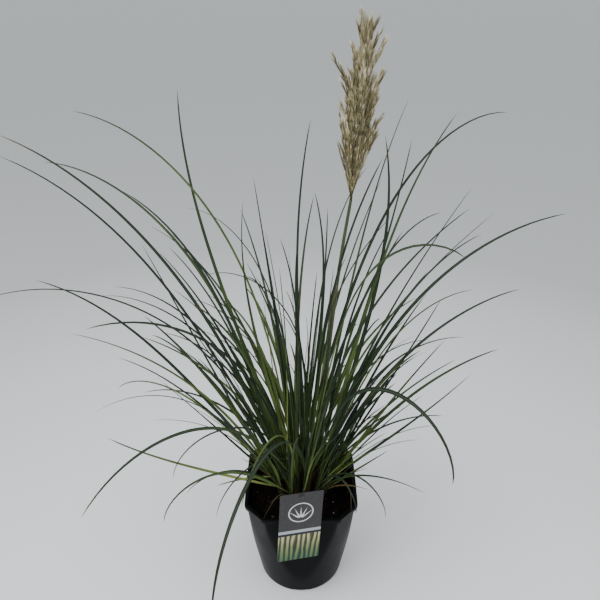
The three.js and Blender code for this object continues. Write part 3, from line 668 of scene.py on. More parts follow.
def meetsPot(points):
    x, y, z = points.T
    out = np.hypot(x, y)
    overPot = out < keepClear["potReach"]
    soil = overPot & (z < soilShape["top"] - keepClear["intoSoil"])
    rim = (out > keepClear["rimReach"]) & overPot & (z < potShape["height"] + keepClear["overRim"])
    label = (np.abs(x) < keepClear["labelHalf"]) & (y < keepClear["labelFront"]) & (z < keepClear["labelTop"])
    return bool(((z < keepClear["overGround"]) | soil | rim | label).any())


def tryBlade(shoot, root, blade, room):
    line = bladeLine(root, blade)
    if meetsPot(line[0][::bladeRule["fine"]]):
        return False
    runs = bladeRuns(line, blade["width"], shoot["index"])
    if room.crowded(runs):
        return False
    room.add(runs)
    shoot["blades"].append({**blade, "line": line})
    return True


# Each seen blade grows on the nearest shoot of its ring that has room, or a few degrees to one side.
def growSeenBlades(shoots, room):
    def cost(shoot):
        return (abs((shoot["heading"] - heading + 180) % 360 - 180)
            + bladeRule["seenCrowding"] * len(shoot["blades"]))

    for ring, heading, slope, length, droop, late, width in seenBlades:
        nearest = sorted((shoot for shoot in shoots if shoot["ring"] == ring), key=cost)
        for step in range(bladeRule["seenTurns"]):
            turn = math.ceil(step / 2) * bladeRule["seenTurn"] * (1 if step % 2 else -1)
            blade = {"heading": heading + turn, "slope": slope, "length": length, "droop": droop,
                "late": late, "width": width, "sway": 0}
            if any(tryBlade(shoot, rootOn(shoot, bladeRule["seenRoots"]), blade, room)
                    for shoot in nearest[:bladeRule["seenShoots"]]):
                break


def growOtherBlades(shoots, room, lot):
    front, back = bladeRule["front"], bladeRule["back"]
    for shoot in sorted(shoots, key=lambda shoot: -shoot["ring"]):
        limits = otherBlades[shoot["ring"]]
        tries = 0
        while tries < bladeRule["tries"] and len(shoot["blades"]) < shootRings[shoot["ring"]]["blades"]:
            tries += 1
            root = rootOn(shoot, bladeRule["roots"])
            heading = shoot["heading"] + lot.around(limits["spread"])
            slope, length, droop = (lot.within(limits[key]) for key in ("slope", "length", "droop"))
            late, width = lot.within(bladeRule["late"]), lot.within(bladeRule["width"])
            sway = lot.around(bladeRule["sway"])
            backness = math.sin(math.radians(heading))
            atFront, atBack = max(0, -backness), max(0, backness)
            heading -= (bladeRule["fanTurn"] + front["turn"] * atFront) * math.sin(2 * math.radians(heading))
            tryBlade(shoot, root, {
                "heading": heading, "late": late, "width": width, "sway": sway,
                "slope": slope + front["slope"] * atFront - back["slope"] * atBack,
                "length": length * (1 - front["length"] * atFront) * (1 - back["length"] * atBack),
                "droop": droop * (1 - front["droop"] * atFront) + back["droop"] * atBack}, room)


# The card hangs from its pin, turned a little to one side.
labelTurn = (Matrix.Rotation(-math.radians(labelCard["yaw"]), 4, "Z")
    @ Matrix.Rotation(-math.radians(labelCard["roll"]), 4, "Y"))
labelPlace = Matrix.Translation(Vector(labelCard["pin"])) @ labelTurn


def onLabel(x, y, z):
    return np.array(labelPlace @ Vector((x, y, z)))


# What stands before the blades grow: shoots, flowering stem, plume, card and pin
def makeRoom(shoots):
    room = Room()

    def addRound(points, radius, owner=-1):
        room.add(makeRuns(np.array(points, float), (1, 0, 0), (0, 1, 0), radius, radius, owner, owner >= 0))

    for shoot in shoots:
        top = shoot["foot"] + shoot["up"] * shoot["height"]
        addRound([shoot["foot"], top], clump["shootRoom"], shoot["index"])
    addRound(culmPoints, clump["culmRoom"])
    for i, radius in enumerate(clump["plumeRoom"]):
        addRound(plumePoints[i:i + 2], radius)
    cardTop = labelCard["holeBelowTop"]
    ends = [onLabel(0, 0, cardTop), onLabel(0, 0, cardTop - labelCard["height"])]
    side, face = np.array(labelTurn @ Vector((1, 0, 0))), np.array(labelTurn @ Vector((0, 1, 0)))
    room.add(makeRuns(np.array(ends), side, face, labelCard["width"] / 2, clump["labelRoom"], -1))
    addRound([labelCard["stakeFoot"], labelCard["pin"]], clump["stakeRoom"])
    return room


lot = Lot(clump["seed"])
shoots = makeShoots(lot)
room = makeRoom(shoots)
growSeenBlades(shoots, room)
growOtherBlades(shoots, room, lot)
print("clump:", len(shoots), "shoots,", sum(len(shoot["blades"]) for shoot in shoots), "blades")


# Blades: thin folded leaves swept along the lines, one piece for each ring of shoots

leafShape = {"across": (0.5, 0.34, 0.18, 0.05), "fold": 0.17, "foldPower": 1.5,
    "web": 0.05, "webShare": (1.1, 1.6), "rib": 0.06, "ribHalf": 0.1, "underside": 0.985,
    "turn": (8, 60), "turnSpread": 30, "turned": 0.2, "twist": 45, "tipTwist": 2.2,
    "taper": 0.6, "tipFrom": 0.99, "tipShare": 0.3}
# short blades are pale and those that hang down are dark
bladeTones = {"short": 0.8, "shortLength": 100, "hanging": 0.25, "hangingDroop": 150,
    "middle": 0.42, "spread": 0.9}
fineBlades = {"count": 44, "roots": (0.2, 0.9), "spread": 150, "slope": (66, 90), "ringSlope": 6,
    "length": (90, 300), "droop": (0, 60), "late": (1.2, 3), "width": (1.7, 2.6), "sway": 40,
    "tone": (0.2, 0.6)}
dryBlades = {"count": 14, "roots": (0.1, 0.5), "spread": 120, "slope": (35, 75), "ringSlope": 4,
    "length": (40, 110), "droop": (40, 150), "late": (0.8, 2), "width": (1.6, 2.8), "sway": 60, "tone": 0.6,
    "dryness": (0.55, 0.45)}
triesPerBlade = 40
# loose old leaves that the photograph shows over the rim
looseLeaves = [
    {"width": 1.6, "tone": 0.75, "points": [
        (-17.5, -37, 176), (-27.5, -42, 186), (-36, -48, 187), (-46.5, -65, 183), (-54.5, -83, 180)]},
    {"width": 2.2, "tone": 0.35, "points": [
        (32.5, -25, 180), (42.5, -29, 207), (50, -33, 215), (66.8, -43, 210), (73.2, -50, 197),
        (74.2, -67, 178)]}]
looseSteps, looseDryness = 26, 0.7


def makeBladeSection():
    half = leafShape["across"]
    thick, thin = leafShape["webShare"]
    upper, lower = [], []
    for y in [-y for y in half] + list(reversed(half)):
        x = leafShape["fold"] * (abs(y) * 2) ** leafShape["foldPower"]
        rib = leafShape["rib"] if abs(y) < leafShape["ribHalf"] else 0
        upper.append((x, y))
        lower.insert(0, (x - leafShape["web"] * (thick - abs(y) * thin) - rib, y * leafShape["underside"]))
    return makeSection("blade section", upper + lower)


# A blade turns about its own line above its root and again towards its tip. Its colour is drawn once.
def addBlade(chains, blade, lot, tone, dry=0.0):
    points, along, sides, faces, steps = blade["line"]
    t = np.arange(len(points)) / (len(points) - 1)
    along, faces = np.vstack([along, along[-1:]]), np.vstack([faces, faces[-1:]])
    turn = lot.within(leafShape["turn"]) * sides[0][1] + lot.around(leafShape["turnSpread"])
    twist = lot.around(leafShape["twist"]) * 2
    turn = turn * smoothstep(t, 0, leafShape["turned"]) + twist * t ** leafShape["tipTwist"]
    turn = np.radians(turn)[:, None]
    turned = faces * np.cos(turn) + np.cross(along, faces) * np.sin(turn)
    breadths = bladeWidth(t, blade["width"], leafShape["taper"])
    breadths = breadths * np.where(t > leafShape["tipFrom"], leafShape["tipShare"], 1)
    chains.add(points, breadths, turned, tone=tone, dry=dry, grain=lot.draw())


def growByLot(rule, lot):
    grown = []
    tries = triesPerBlade * rule["count"]
    while len(grown) < rule["count"] and tries:
        tries -= 1
        shoot = shoots[int(lot.draw() * len(shoots))]
        root = shoot["foot"] + shoot["up"] * shoot["height"] * lot.within(rule["roots"])
        blade = {"heading": shoot["heading"] + lot.around(rule["spread"])}
        for key in ("slope", "length", "droop", "late", "width"):
            blade[key] = lot.within(rule[key])
        blade["slope"] -= rule["ringSlope"] * shoot["ring"]
        blade["sway"] = lot.around(rule["sway"])
        if tryBlade(shoot, root, blade, room):
            grown.append(shoot["blades"].pop())
    return grown


def pointsOn(points, shares):
    points = np.array(points, float)
    ends = np.vstack([2 * points[0] - points[1], points, 2 * points[-1] - points[-2]])
    made = []
    for place in np.asarray(shares) * (len(points) - 1):
        i = min(int(place), len(points) - 2)
        made.append(centripetal(ends[i:i + 4], place - i))
    return np.array(made)


# One stretch of a centripetal Catmull-Rom curve, as the frame's stem and plume follow.
def centripetal(four, t):
    gaps = [max(np.linalg.norm(four[i + 1] - four[i]) ** 0.5, 1e-4) for i in range(3)]
    start, end = four[1], four[2]
    leave = (start - four[0]) / gaps[0] - (end - four[0]) / (gaps[0] + gaps[1]) + (end - start) / gaps[1]
    arrive = (end - start) / gaps[1] - (four[3] - start) / (gaps[1] + gaps[2]) + (four[3] - end) / gaps[2]
    leave, arrive = leave * gaps[1], arrive * gaps[1]
    return (start + leave * t + (3 * end - 3 * start - 2 * leave - arrive) * t * t
        + (2 * start - 2 * end + leave + arrive) * t ** 3)


def facesAlong(points, facing):
    along = unit(np.gradient(np.asarray(points, float), axis=0))
    facing = np.broadcast_to(np.asarray(facing, float), along.shape)
    return unit(facing - along * (facing * along).sum(-1, keepdims=True))


def makeLeafMaterial():
    leaf = Surface("grass leaf", Roughness=0.5, Specular_IOR_Level=0.22)
    tone, dry, grain, along, across = leaf.attributes("tone", "dry", "grain", "along", "across")
    # fine veins run the length of the blade
    veinPlace = leaf.output("ShaderNodeCombineXYZ", 0, {0: across * 34, 1: along * 5, 2: grain * 90})
    veins = leaf.noise(veinPlace, 1, 2, 0.5)
    patches = leaf.noise(leaf.place(), 14)
    # painted light: the ramp's input rises towards the crown, so blades are painted lighter there
    shade = tone + (patches - 0.5) * 0.5 + (0.3 - along) * 0.45
    green = leaf.ramp(shade, [
        (0, "18241c"), (0.3, "253628"), (0.52, "42532f"), (0.74, "6d7f44"), (1, "a0a862")])
    # painted light: blades are painted lighter and greener near the crown, for the highlights on the leaves
    # there, and they are darker in their outer half
    litNearCrown = leaf.mix((0.36 - along).clamped(1), green, "77894d")
    darker = leaf.mix((along - 0.2).clamped(0.9), litNearCrown, "21281e")
    striped = leaf.mix(veins * 0.3, darker, [0.62, 0.7, 0.46, 1], "OVERLAY")
    # the midrib is a pale line, and a blade is browner at its foot and its tip
    rib = leaf.ramp(across.math("ABSOLUTE"), [(0.02, 1), (0.07, 0)])
    ribbed = leaf.mix(rib * 0.3, striped, "77855c")
    foot = leaf.ramp(along, [(0, 1), (0.06, 0.55), (0.16, 0)])
    footed = leaf.mix(foot * 0.5, ribbed, "4a4a2c")
    tip = (along - (grain * 0.2 + 0.9)).clamped(14)
    tipped = leaf.mix(tip * 0.7, footed, "6b5c3c")
    straw = leaf.ramp(patches * 0.6 + grain * 0.5,
        [(0.1, "2e2118"), (0.4, "5a472f"), (0.65, "83704b"), (0.95, "a99a72")])
    return leaf.connect(Base_Color=leaf.mix(dry, tipped, straw), Normal=leaf.bump(veins, 0.35, 0.3),
        Roughness=leaf.ramp(veins, [(0.2, 0.4), (0.8, 0.6)]))


def toneOf(blade, lot):
    if blade["length"] < bladeTones["shortLength"]:
        return bladeTones["short"]
    if blade["droop"] > bladeTones["hangingDroop"]:
        return bladeTones["hanging"]
    return min(1, max(0, bladeTones["middle"] + lot.around(bladeTones["spread"])))


def makeBlades():
    section, material = makeBladeSection(), makeLeafMaterial()
    lot = Lot(clump["seed"] + 2)
    rings = [Chains() for ring in shootRings]
    for shoot in shoots:
        for blade in shoot["blades"]:
            addBlade(rings[shoot["ring"]], blade, lot, toneOf(blade, lot))
    for index, chains in enumerate(rings):
        piece = chains.grow("blades_ring_%d" % (index + 1), section, material)
        ringShoots = ["shoot_%02d" % (shoot["index"] + 1) for shoot in shoots if shoot["ring"] == index]
        finishPiece(piece, "blades", *ringShoots)
    fine = Chains()
    for blade in growByLot(fineBlades, lot):
        addBlade(fine, blade, lot, lot.above(*fineBlades["tone"]))
    for blade in growByLot(dryBlades, lot):
        addBlade(fine, blade, lot, dryBlades["tone"], lot.above(*dryBlades["dryness"]))
    t = np.linspace(0, 1, looseSteps)
    for leaf in looseLeaves:
        line = pointsOn(leaf["points"], t)
        fine.add(line, bladeWidth(t, leaf["width"]), facesAlong(line, (0, 0.3, 1)),
            tone=leaf["tone"], dry=looseDryness, grain=lot.draw())
    finishPiece(fine.grow("fine_and_old_blades", section, material), "blades")
    discard(section)


makeBlades()
print("blades")


# Sheaths: each shoot is a short stack of leaf bases, with old ones peeling off at its foot

sheathShape = {"steps": 14, "inSoil": -4, "swell": 0.35, "swellAt": 0.08, "swellReach": 0.12, "tipShare": 0.5,
    "sides": 12}
oldSheaths = {"count": 3, "steps": 12, "width": 8.6, "widthShare": (1, 0.25), "height": (0.35, 0.55),
    "peel": (1, 6), "lift": 0.3, "turn": 137.5, "wrap": 75, "wrapPoints": 7, "inside": 0.93, "shift": 0.05,
    "dryness": (0.3, 0.7)}


def makeSheathMaterial():
    sheath = Surface("leaf sheath", Roughness=0.6)
    along, grain, dry = sheath.attributes("along", "grain", "dry")
    fibres = sheath.noise(sheath.stretched(sheath.place(), (900, 900, 40)), 1)
    height = along + (sheath.noise(sheath.place(), 60) - 0.5) * 0.5
    fresh = sheath.ramp(height, [
        (0, "140c0a"), (0.22, "2c1b16"), (0.42, "38311f"), (0.7, "2c391f"), (1, "24331d")])
    old = sheath.ramp(fibres * 0.7 + grain * 0.35,
        [(0.2, "17100c"), (0.45, "2f2117"), (0.7, "51412b"), (0.95, "7d6c4b")])
    streaked = sheath.mix(fibres * 0.5, sheath.mix(dry, fresh, old), [0.75, 0.72, 0.5, 1], "OVERLAY")
    return sheath.connect(Base_Color=streaked, Normal=sheath.bump(fibres, 0.5, 0.4))


def makeWrapSection():
    turns = np.radians(np.linspace(-oldSheaths["wrap"], oldSheaths["wrap"], oldSheaths["wrapPoints"]))
    wrap = [(0.5 * math.cos(turn), 0.5 * math.sin(turn)) for turn in turns]
    wrap += [(oldSheaths["inside"] * x, oldSheaths["inside"] * y) for x, y in reversed(wrap)]
    return makeSection("wrap section", [(x - oldSheaths["shift"], y) for x, y in wrap])


def addOldSheath(wraps, shoot, k, points, lot):
    t = np.linspace(0, 1, oldSheaths["steps"])
    turn = oldSheaths["turn"] * k + 360 * lot.draw()
    reach = shoot["height"] * lot.above(*oldSheaths["height"])
    out = facesAlong(points, wayOf(0, turn))[0]
    peel = lot.above(*oldSheaths["peel"])
    line = shoot["foot"] + shoot["up"] * lerp(sheathShape["inSoil"], reach, t)[:, None]
    line = line + out * (peel * t ** 3 + oldSheaths["lift"])[:, None]
    width = oldSheaths["width"] * lot.above(*oldSheaths["widthShare"])
    width = width * np.clip(1.05 - t ** 2.2, 0.06, 1) * (1 - 0.2 * t)
    wraps.add(line, width, facesAlong(line, out), grain=lot.draw(), dry=lot.above(*oldSheaths["dryness"]))


def makeSheaths():
    material = makeSheathMaterial()
    lot = Lot(clump["seed"] + 3)
    stemSection, wrapSection = roundSection("stem section", sheathShape["sides"]), makeWrapSection()
    stems, wraps = Chains(), Chains()
    t = np.linspace(0, 1, sheathShape["steps"])
    swell = np.exp(-((t - sheathShape["swellAt"]) / sheathShape["swellReach"]) ** 2)
    radii = lerp(clump["footRadius"], clump["topRadius"], t) * (1 + sheathShape["swell"] * swell)
    radii[-1] *= sheathShape["tipShare"]
    for shoot in shoots:
        points = shoot["foot"] + shoot["up"] * lerp(sheathShape["inSoil"], shoot["height"], t)[:, None]
        stems.add(points, radii * 2, facesAlong(points, (0.3, 1, 0)), grain=lot.draw(), dry=0.0)
        for k in range(oldSheaths["count"]):
            addOldSheath(wraps, shoot, k, points, lot)
    finishPiece(stems.grow("leaf_sheaths", stemSection, material), "blades")
    finishPiece(wraps.grow("old_sheaths", wrapSection, material), "blades")
    discard(stemSection, wrapSection)


makeSheaths()
print("sheaths")


# Pot: thin black plastic, a cone with a flat on each side and at each corner, so it is round at its foot

potFinish = {"turns": 176, "softEdge": 0.5, "wallFrom": 6, "outerLoops": 44, "innerLoops": 30, "sharp": 38,
    "holeSides": 24, "cutPast": 1, "sheenEdge": 0.5, "sheenFrom": (60, 110), "sheenBelowRim": 9}


# Distances from the pot's middle to the cone, to the nearest side's flat and to the nearest corner's flat
def potWalls(angle, z):
    inQuarter = angle % (math.pi / 2)
    fromSide = np.minimum(inQuarter, math.pi / 2 - inQuarter)
    sideTop = potShape["rimWidth"] / 2 - potShape["lipWidth"]
    cornerTop = (potShape["rimWidth"] - potShape["cornerCut"]) / math.sqrt(2) - potShape["lipWidth"]
    up = z / potShape["height"]
    cone = lerp(potShape["baseRadius"], potShape["coneTop"], up) + 0 * angle
    side = lerp(potShape["sideFlatFoot"], sideTop, up) / np.cos(fromSide)
    corner = lerp(potShape["cornerFlatFoot"], cornerTop, up) / np.cos(math.pi / 4 - inQuarter)
    return cone, side, corner


# The nearest of them is the wall, and the edges between them are slightly soft.
def potRadius(angle, z):
    walls = potWalls(angle, z)
    least = np.min(walls, axis=0)
    soft = potFinish["softEdge"]
    return least - soft * np.log(sum(np.exp((least - wall) / soft) for wall in walls))


def potLoop(z, grow=0.0, turns=potFinish["turns"]):
    angle = fullTurn(turns)
    radius = potRadius(angle, z) + grow
    return np.stack([radius * np.cos(angle), radius * np.sin(angle), np.full(turns, z)], -1)


# The wall's section as heights and distances from the wall: up the outside, over the lip and down inside
def potProfile():
    height, wall, floor, lip, lipRound, foot = (
        potShape[key] for key in ("height", "wall", "floor", "lipWidth", "lipRound", "footRound"))
    lipBottom, wallFrom = height - potShape["lipHeight"], potFinish["wallFrom"]

    def arc(*turns):
        return [(1 - math.cos(turn), 1 - math.sin(turn)) for turn in np.radians(turns)]

    profile = [(0, -foot * 1.6)] + [(foot * up, -foot * out) for up, out in arc(0, 30, 60, 90)]
    profile += [(z, 0) for z in np.linspace(wallFrom, lipBottom - 0.4, potFinish["outerLoops"])]
    profile += [(lipBottom, 0.15), (lipBottom + 0.05, lip * 0.5), (lipBottom + 0.1, lip - 0.6)]
    profile += [(lipBottom + lipRound * up * 0.9, lip - lipRound * out) for up, out in arc(25, 65)]
    profile += [(lipBottom + 1.2, lip), (height - 1.4, lip)]
    profile += [(height - lipRound * down, lip - lipRound * back) for back, down in arc(20, 50, 80)]
    profile += [(height, 0.4), (height - 0.1, -wall + 0.35), (height - 0.5, -wall)]
    profile += [(z, -wall) for z in np.linspace(height - 2, wallFrom, potFinish["innerLoops"])]
    return profile + [(floor + 0.6, -wall - 0.4), (floor, -wall - 1.4)]


def makePotMaterial():
    black = Surface("black pot plastic", Specular_IOR_Level=0.052, IOR=1.49)
    place = black.place()
    cloud, speckle = black.noise(place, 16, 4), black.noise(place, 420, 2)
    scuffs = black.noise(black.stretched(place, (260, 260, 22), (0.3, 0.2, 0)), 1, 4, 0.6, 0.6)
    height = black.output("ShaderNodeSeparateXYZ", 2, {0: place})
    base = black.ramp(cloud, [(0.3, "050606"), (0.7, "090a0b")])
    # painted sheen: the flats at the corners are painted greyer, for the light they reflect
    matt, = black.attributes("matt")
    cornered = black.mix(matt * 0.8, base, "17191a")
    scuffed = black.mix(black.ramp(scuffs, [(0.6, 0), (0.74, 0.2)]), cornered, "2e3133")
    # dust and dried soil lie low on the wall
    low = black.ramp(height * 10, [(0, 0.5), (0.35, 0)])
    dusty = black.mix(low * black.ramp(speckle, [(0.5, 0), (0.8, 0.6)]), scuffed, "3f3c37")
    # the mould leaves a faint orange peel and shallow rings round the wall
    relief = speckle * 0.35 + (height * 900).math("SINE") * 0.12 + scuffs
    return black.connect(Base_Color=dusty, Normal=black.bump(relief, 0.12, 0.4),
        Roughness=black.ramp(cloud, [(0.25, 0.3), (0.75, 0.42)]))


# A channel and a hole in each quarter of the pot's floor
def drainCutters():
    cutters = []
    past, half = potFinish["cutPast"], potShape["drainWidth"] / 2
    inner, outer = potShape["drainStart"], potShape["baseRadius"] + past
    channel = [(inner, -half), (outer, -half), (outer, half), (inner, half)]
    hole = [(potShape["drainHoleAt"] + x, y) for x, y in circle(potShape["drainHole"], potFinish["holeSides"])]
    for quarter in range(4):
        turn = Matrix.Rotation(quarter * math.pi / 2, 3, "Z")
        for outline, top in (channel, potShape["drainHeight"]), (hole, potShape["floor"] + past):
            loops = [[np.array(turn @ Vector((x, y, z))) for x, y in outline] for z in (-past, top)]
            cutters.append(faceOutward(makeObject("drain cutter", *loftLoops(loops), smooth=False)))
    return cutters


def makePot():
    loops = [potLoop(z, grow) for z, grow in potProfile()]
    pot = makeObject("plastic_pot", *loftLoops(loops, np.zeros(3), np.array([0, 0, potShape["floor"]])))
    cutAway(faceOutward(pot), drainCutters())
    pot.data.shade_smooth()
    x, y, z = np.array([vert.co for vert in pot.data.vertices]).T / mm
    cone, side, corner = potWalls(np.arctan2(y, x), z)
    # painted sheen: a mask for the corner flats, fading out towards the foot and stopping below the rim
    atCorner = smoothstep(np.minimum(cone, side) - corner, 0, potFinish["sheenEdge"])
    belowRim = z < potShape["height"] - potFinish["sheenBelowRim"]
    storeValues(pot, "matt", atCorner * smoothstep(z, *potFinish["sheenFrom"]) * belowRim)
    pot.data.materials.append(makePotMaterial())
    pot.data.set_sharp_from_angle(angle=math.radians(potFinish["sharp"]))
    finishPiece(pot, "pot_plastic", "pot")


makePot()
print("pot")


# Soil: a dark bed with crumbs, bark and a few white grains on it

soilBed = {"turns": 160, "rings": 46, "crowding": 0.85, "gap": 0.4, "edgeGrain": 0.25,
    "wallLoops": (150, 140, 105, 85, 65, 45, 25)}
strewing = {"lumps": 4, "lumpSeed": 40, "seed": 60, "fromWall": 3, "face": (0.1, 0.05, 1)}
soilLayers = {
    "soil_crumbs": {"count": 3600, "lump": (2.2, 1.8, 2), "rough": 0.7, "size": (0.5, 1.6), "lift": 0.3,
        "tilt": 90, "tone": (0, 0.62)},
    "bark_bits": {"count": 620, "lump": (1.1, 3, 7), "rough": 0.5, "size": (0.45, 1.5), "lift": 0.8,
        "tilt": 16, "tone": (0.4, 0.84)},
    "white_grains": {"count": 12, "lump": (2.2, 2, 2.2), "rough": 0.5, "size": (0.5, 1.1), "lift": 1.4,
        "tilt": 90, "tone": (0.97, 1)}}


def soilHeight(x, y):
    first, second, third = soilShape["waves"]
    wave = np.sin(x * first + 1) * np.cos(y * second) + 0.5 * np.sin((x + y) * third)
    return soilShape["top"] + soilShape["bump"] * wave


def makeSoilMaterial():
    soil = Surface("potting soil", Roughness=0.95, Specular_IOR_Level=0.08)
    broad, fine = soil.noise(soil.place(), 22), soil.noise(soil.place(), 260, 4, 0.65)
    dark = soil.ramp(fine, [(0.3, "020202"), (0.55, "060403"), (0.75, "0c0806"), (0.92, "1c130d")])
    reddish = soil.mix(soil.ramp(broad, [(0.48, 0), (0.68, 0.5)]), dark, "1c0f0b")
    return soil.connect(Base_Color=reddish, Normal=soil.bump(fine, 0.9, 1.6))


def makeSoilBed():
    turns, rings = soilBed["turns"], soilBed["rings"]
    gap, bottom = potShape["wall"] + soilBed["gap"], potShape["floor"] + soilBed["gap"]
    angle = fullTurn(turns)
    lot = np.random.default_rng(clump["seed"])
    edge = potRadius(angle, soilShape["top"]) - gap
    loops = []
    for ring in range(1, rings + 1):
        radius = edge * (ring / rings) ** soilBed["crowding"]
        x, y = radius * np.cos(angle), radius * np.sin(angle)
        grain = soilShape["grain"] * (lot.random(turns) - 0.5) * (soilBed["edgeGrain"] if ring == rings else 1)
        loops.append(np.stack([x, y, soilHeight(x, y) + grain], -1))
    loops += [potLoop(z, -gap, turns) for z in (*soilBed["wallLoops"], bottom)]
    middles = np.array([0, 0, float(soilHeight(0, 0))]), np.array([0, 0, bottom])
    bed = faceOutward(makeObject("soil_bed", *loftLoops(loops, *middles)))
    bed.data.materials.append(makeSoilMaterial())
    finishPiece(bed, "potting_soil", "soil")


def makeLump(name, sizes, roughness, seed, collection):
    bm = bmesh.new()
    bmesh.ops.create_icosphere(bm, subdivisions=1, radius=0.5)
    lot = np.random.default_rng(seed)
    for vert in bm.verts:
        vert.co = Vector(np.array(vert.co) * sizes * (1 + roughness * (lot.random(3) - 0.5))) * mm
    mesh = bpy.data.meshes.new(name)
    bm.to_mesh(mesh)
    bm.free()
    return linkObject(name, mesh, collection)


# Points strewn over the soil, each with a way, a face, a size and a tone
def strewn(name, layer, seed):
    lot, count = np.random.default_rng(seed), layer["count"]
    angle = lot.random(count) * math.tau
    reach = potRadius(angle, soilShape["top"]) - potShape["wall"] - strewing["fromWall"]
    radius = reach * np.sqrt(lot.random(count))
    x, y = radius * np.cos(angle), radius * np.sin(angle)
    owner = makeObject(name, np.stack([x, y, soilHeight(x, y) + layer["lift"]], -1))
    heading = lot.random(count) * 360
    storeValues(owner, "way", wayOf(layer["tilt"] * (lot.random(count) * 2 - 1), heading))
    storeValues(owner, "face", np.tile(strewing["face"], (count, 1)))
    storeValues(owner, "size", lerp(*layer["size"], lot.random(count) ** 2))
    storeValues(owner, "tone", lerp(*layer["tone"], lot.random(count)))
    return owner


def makeCrumbMaterial():
    crumb = Surface("soil crumbs and bark", Roughness=0.9, Specular_IOR_Level=0.08)
    grain = crumb.noise(crumb.place(), 320, 3, 0.6)
    tone, = crumb.attributes("tone")
    shade = crumb.ramp(tone, [
        (0, "030202"), (0.35, "070503"), (0.6, "0f0a07"), (0.8, "20150e"), (0.9, "5a4e3f"), (1, "e2e0d8")])
    mottled = crumb.mix(grain * 0.6, shade, [0.45, 0.4, 0.36, 1], "OVERLAY")
    return crumb.connect(Base_Color=mottled, Normal=crumb.bump(grain, 0.6, 0.6))


def makeSoil():
    makeSoilBed()
    material = makeCrumbMaterial()
    for index, (name, layer) in enumerate(soilLayers.items()):
        shapes = bpy.data.collections.new(name)
        lumpSeed = strewing["lumpSeed"] + 10 * index
        lumps = [makeLump(f"{name}_{k}", layer["lump"], layer["rough"], lumpSeed + k, shapes)
            for k in range(strewing["lumps"])]
        owner = strewn(name, layer, strewing["seed"] + index)
        growWith(owner, scatterTree, Shapes=shapes, Seed=index + 1, Material=material)
        finishPiece(owner, "potting_soil")
        discard(*lumps)
        bpy.data.collections.remove(shapes)


makeSoil()
print("soil")


# Flowering stem: a round cane with a few joints, wrapped by a leaf sheath below

culmShape = {"steps": 150, "sides": 16, "radii": (3.2, 2), "joints": (0.16, 0.42, 0.7), "jointReach": 0.004,
    "jointSwell": 0.5, "sheathTop": 0.66, "sheathGap": 0.55, "sheathEnd": 0.02, "fadeFrom": 0.56, "fade": 0.1,
    "dryTop": 0.8}


def makeCulmMaterial():
    cane = Surface("flowering stem", Roughness=0.45)
    fibres = cane.noise(cane.stretched(cane.place(), (700, 700, 18)), 1)
    joint, dry = cane.attributes("joint", "dry")
    green = cane.ramp(fibres, [(0.25, "2c3620"), (0.55, "3f4a2a"), (0.8, "5c633c")])
    ringed = cane.mix(joint * 0.85, green, "3d2b1c")
    final = cane.mix(dry, ringed, cane.ramp(fibres, [(0.2, "42382a"), (0.8, "7a6d48")]))
    return cane.connect(Base_Color=final, Normal=cane.bump(fibres, 0.35, 0.3))


def makeCulm():
    section = roundSection("cane section", culmShape["sides"])
    t = np.linspace(0, 1, culmShape["steps"])
    line = pointsOn(culmPoints, t)
    joint = sum(np.exp(-((t - place) / culmShape["jointReach"]) ** 2) for place in culmShape["joints"])
    radii = lerp(*culmShape["radii"], t) + culmShape["jointSwell"] * joint
    chains = Chains()
    chains.add(line, radii * 2, facesAlong(line, (0, 1, 0)), joint=joint, dry=0.0)
    line, t = line[t < culmShape["sheathTop"]], t[t < culmShape["sheathTop"]]
    gap = culmShape["sheathGap"] * np.clip((culmShape["sheathTop"] - t) / culmShape["sheathEnd"], 0.1, 1)
    fade = np.clip((t - culmShape["fadeFrom"]) / culmShape["fade"], 0, culmShape["dryTop"])
    wrap = 2 * (lerp(*culmShape["radii"], t) + gap)
    chains.add(line, wrap, facesAlong(line, (0, 1, 0)), joint=0.0, dry=fade)
    finishPiece(chains.grow("flowering_stem", section, makeCulmMaterial()), "cane", "culm")
    discard(section)


makeCulm()
print("flowering stem")


# Plume: an upright axis with branches on all sides, set with slender spikelets and their silky hairs

# how far up the axis, compass direction, opening from the axis, length
seenBranches = [
    (0.44, 180, 28, 80), (0.4, 185, 24, 53), (0.33, 175, 20, 51), (0.31, 190, 27, 49), (0.1, 182, 22, 46),
    (0.56, 178, 17, 40), (0.64, 186, 22, 36), (0.78, 180, 16, 26), (0.47, 200, 18, 52), (0.54, 0, 22, 76),
    (0.66, 355, 20, 51), (0.76, 5, 20, 37), (0.34, 2, 23, 86), (0.4, 350, 23, 70), (0.19, 5, 31, 72),
    (0.1, 355, 27, 68), (0.05, 10, 20, 53)]
otherBranches = {"count": 18, "share": (0.02, 0.7), "crowd": 1, "turn": 137.5, "turnSpread": 30,
    "open": (23, 12), "openShare": (0.6, 0.7), "length": (90, 44), "lengthShare": (0.85, 0.3), "bow": 8}
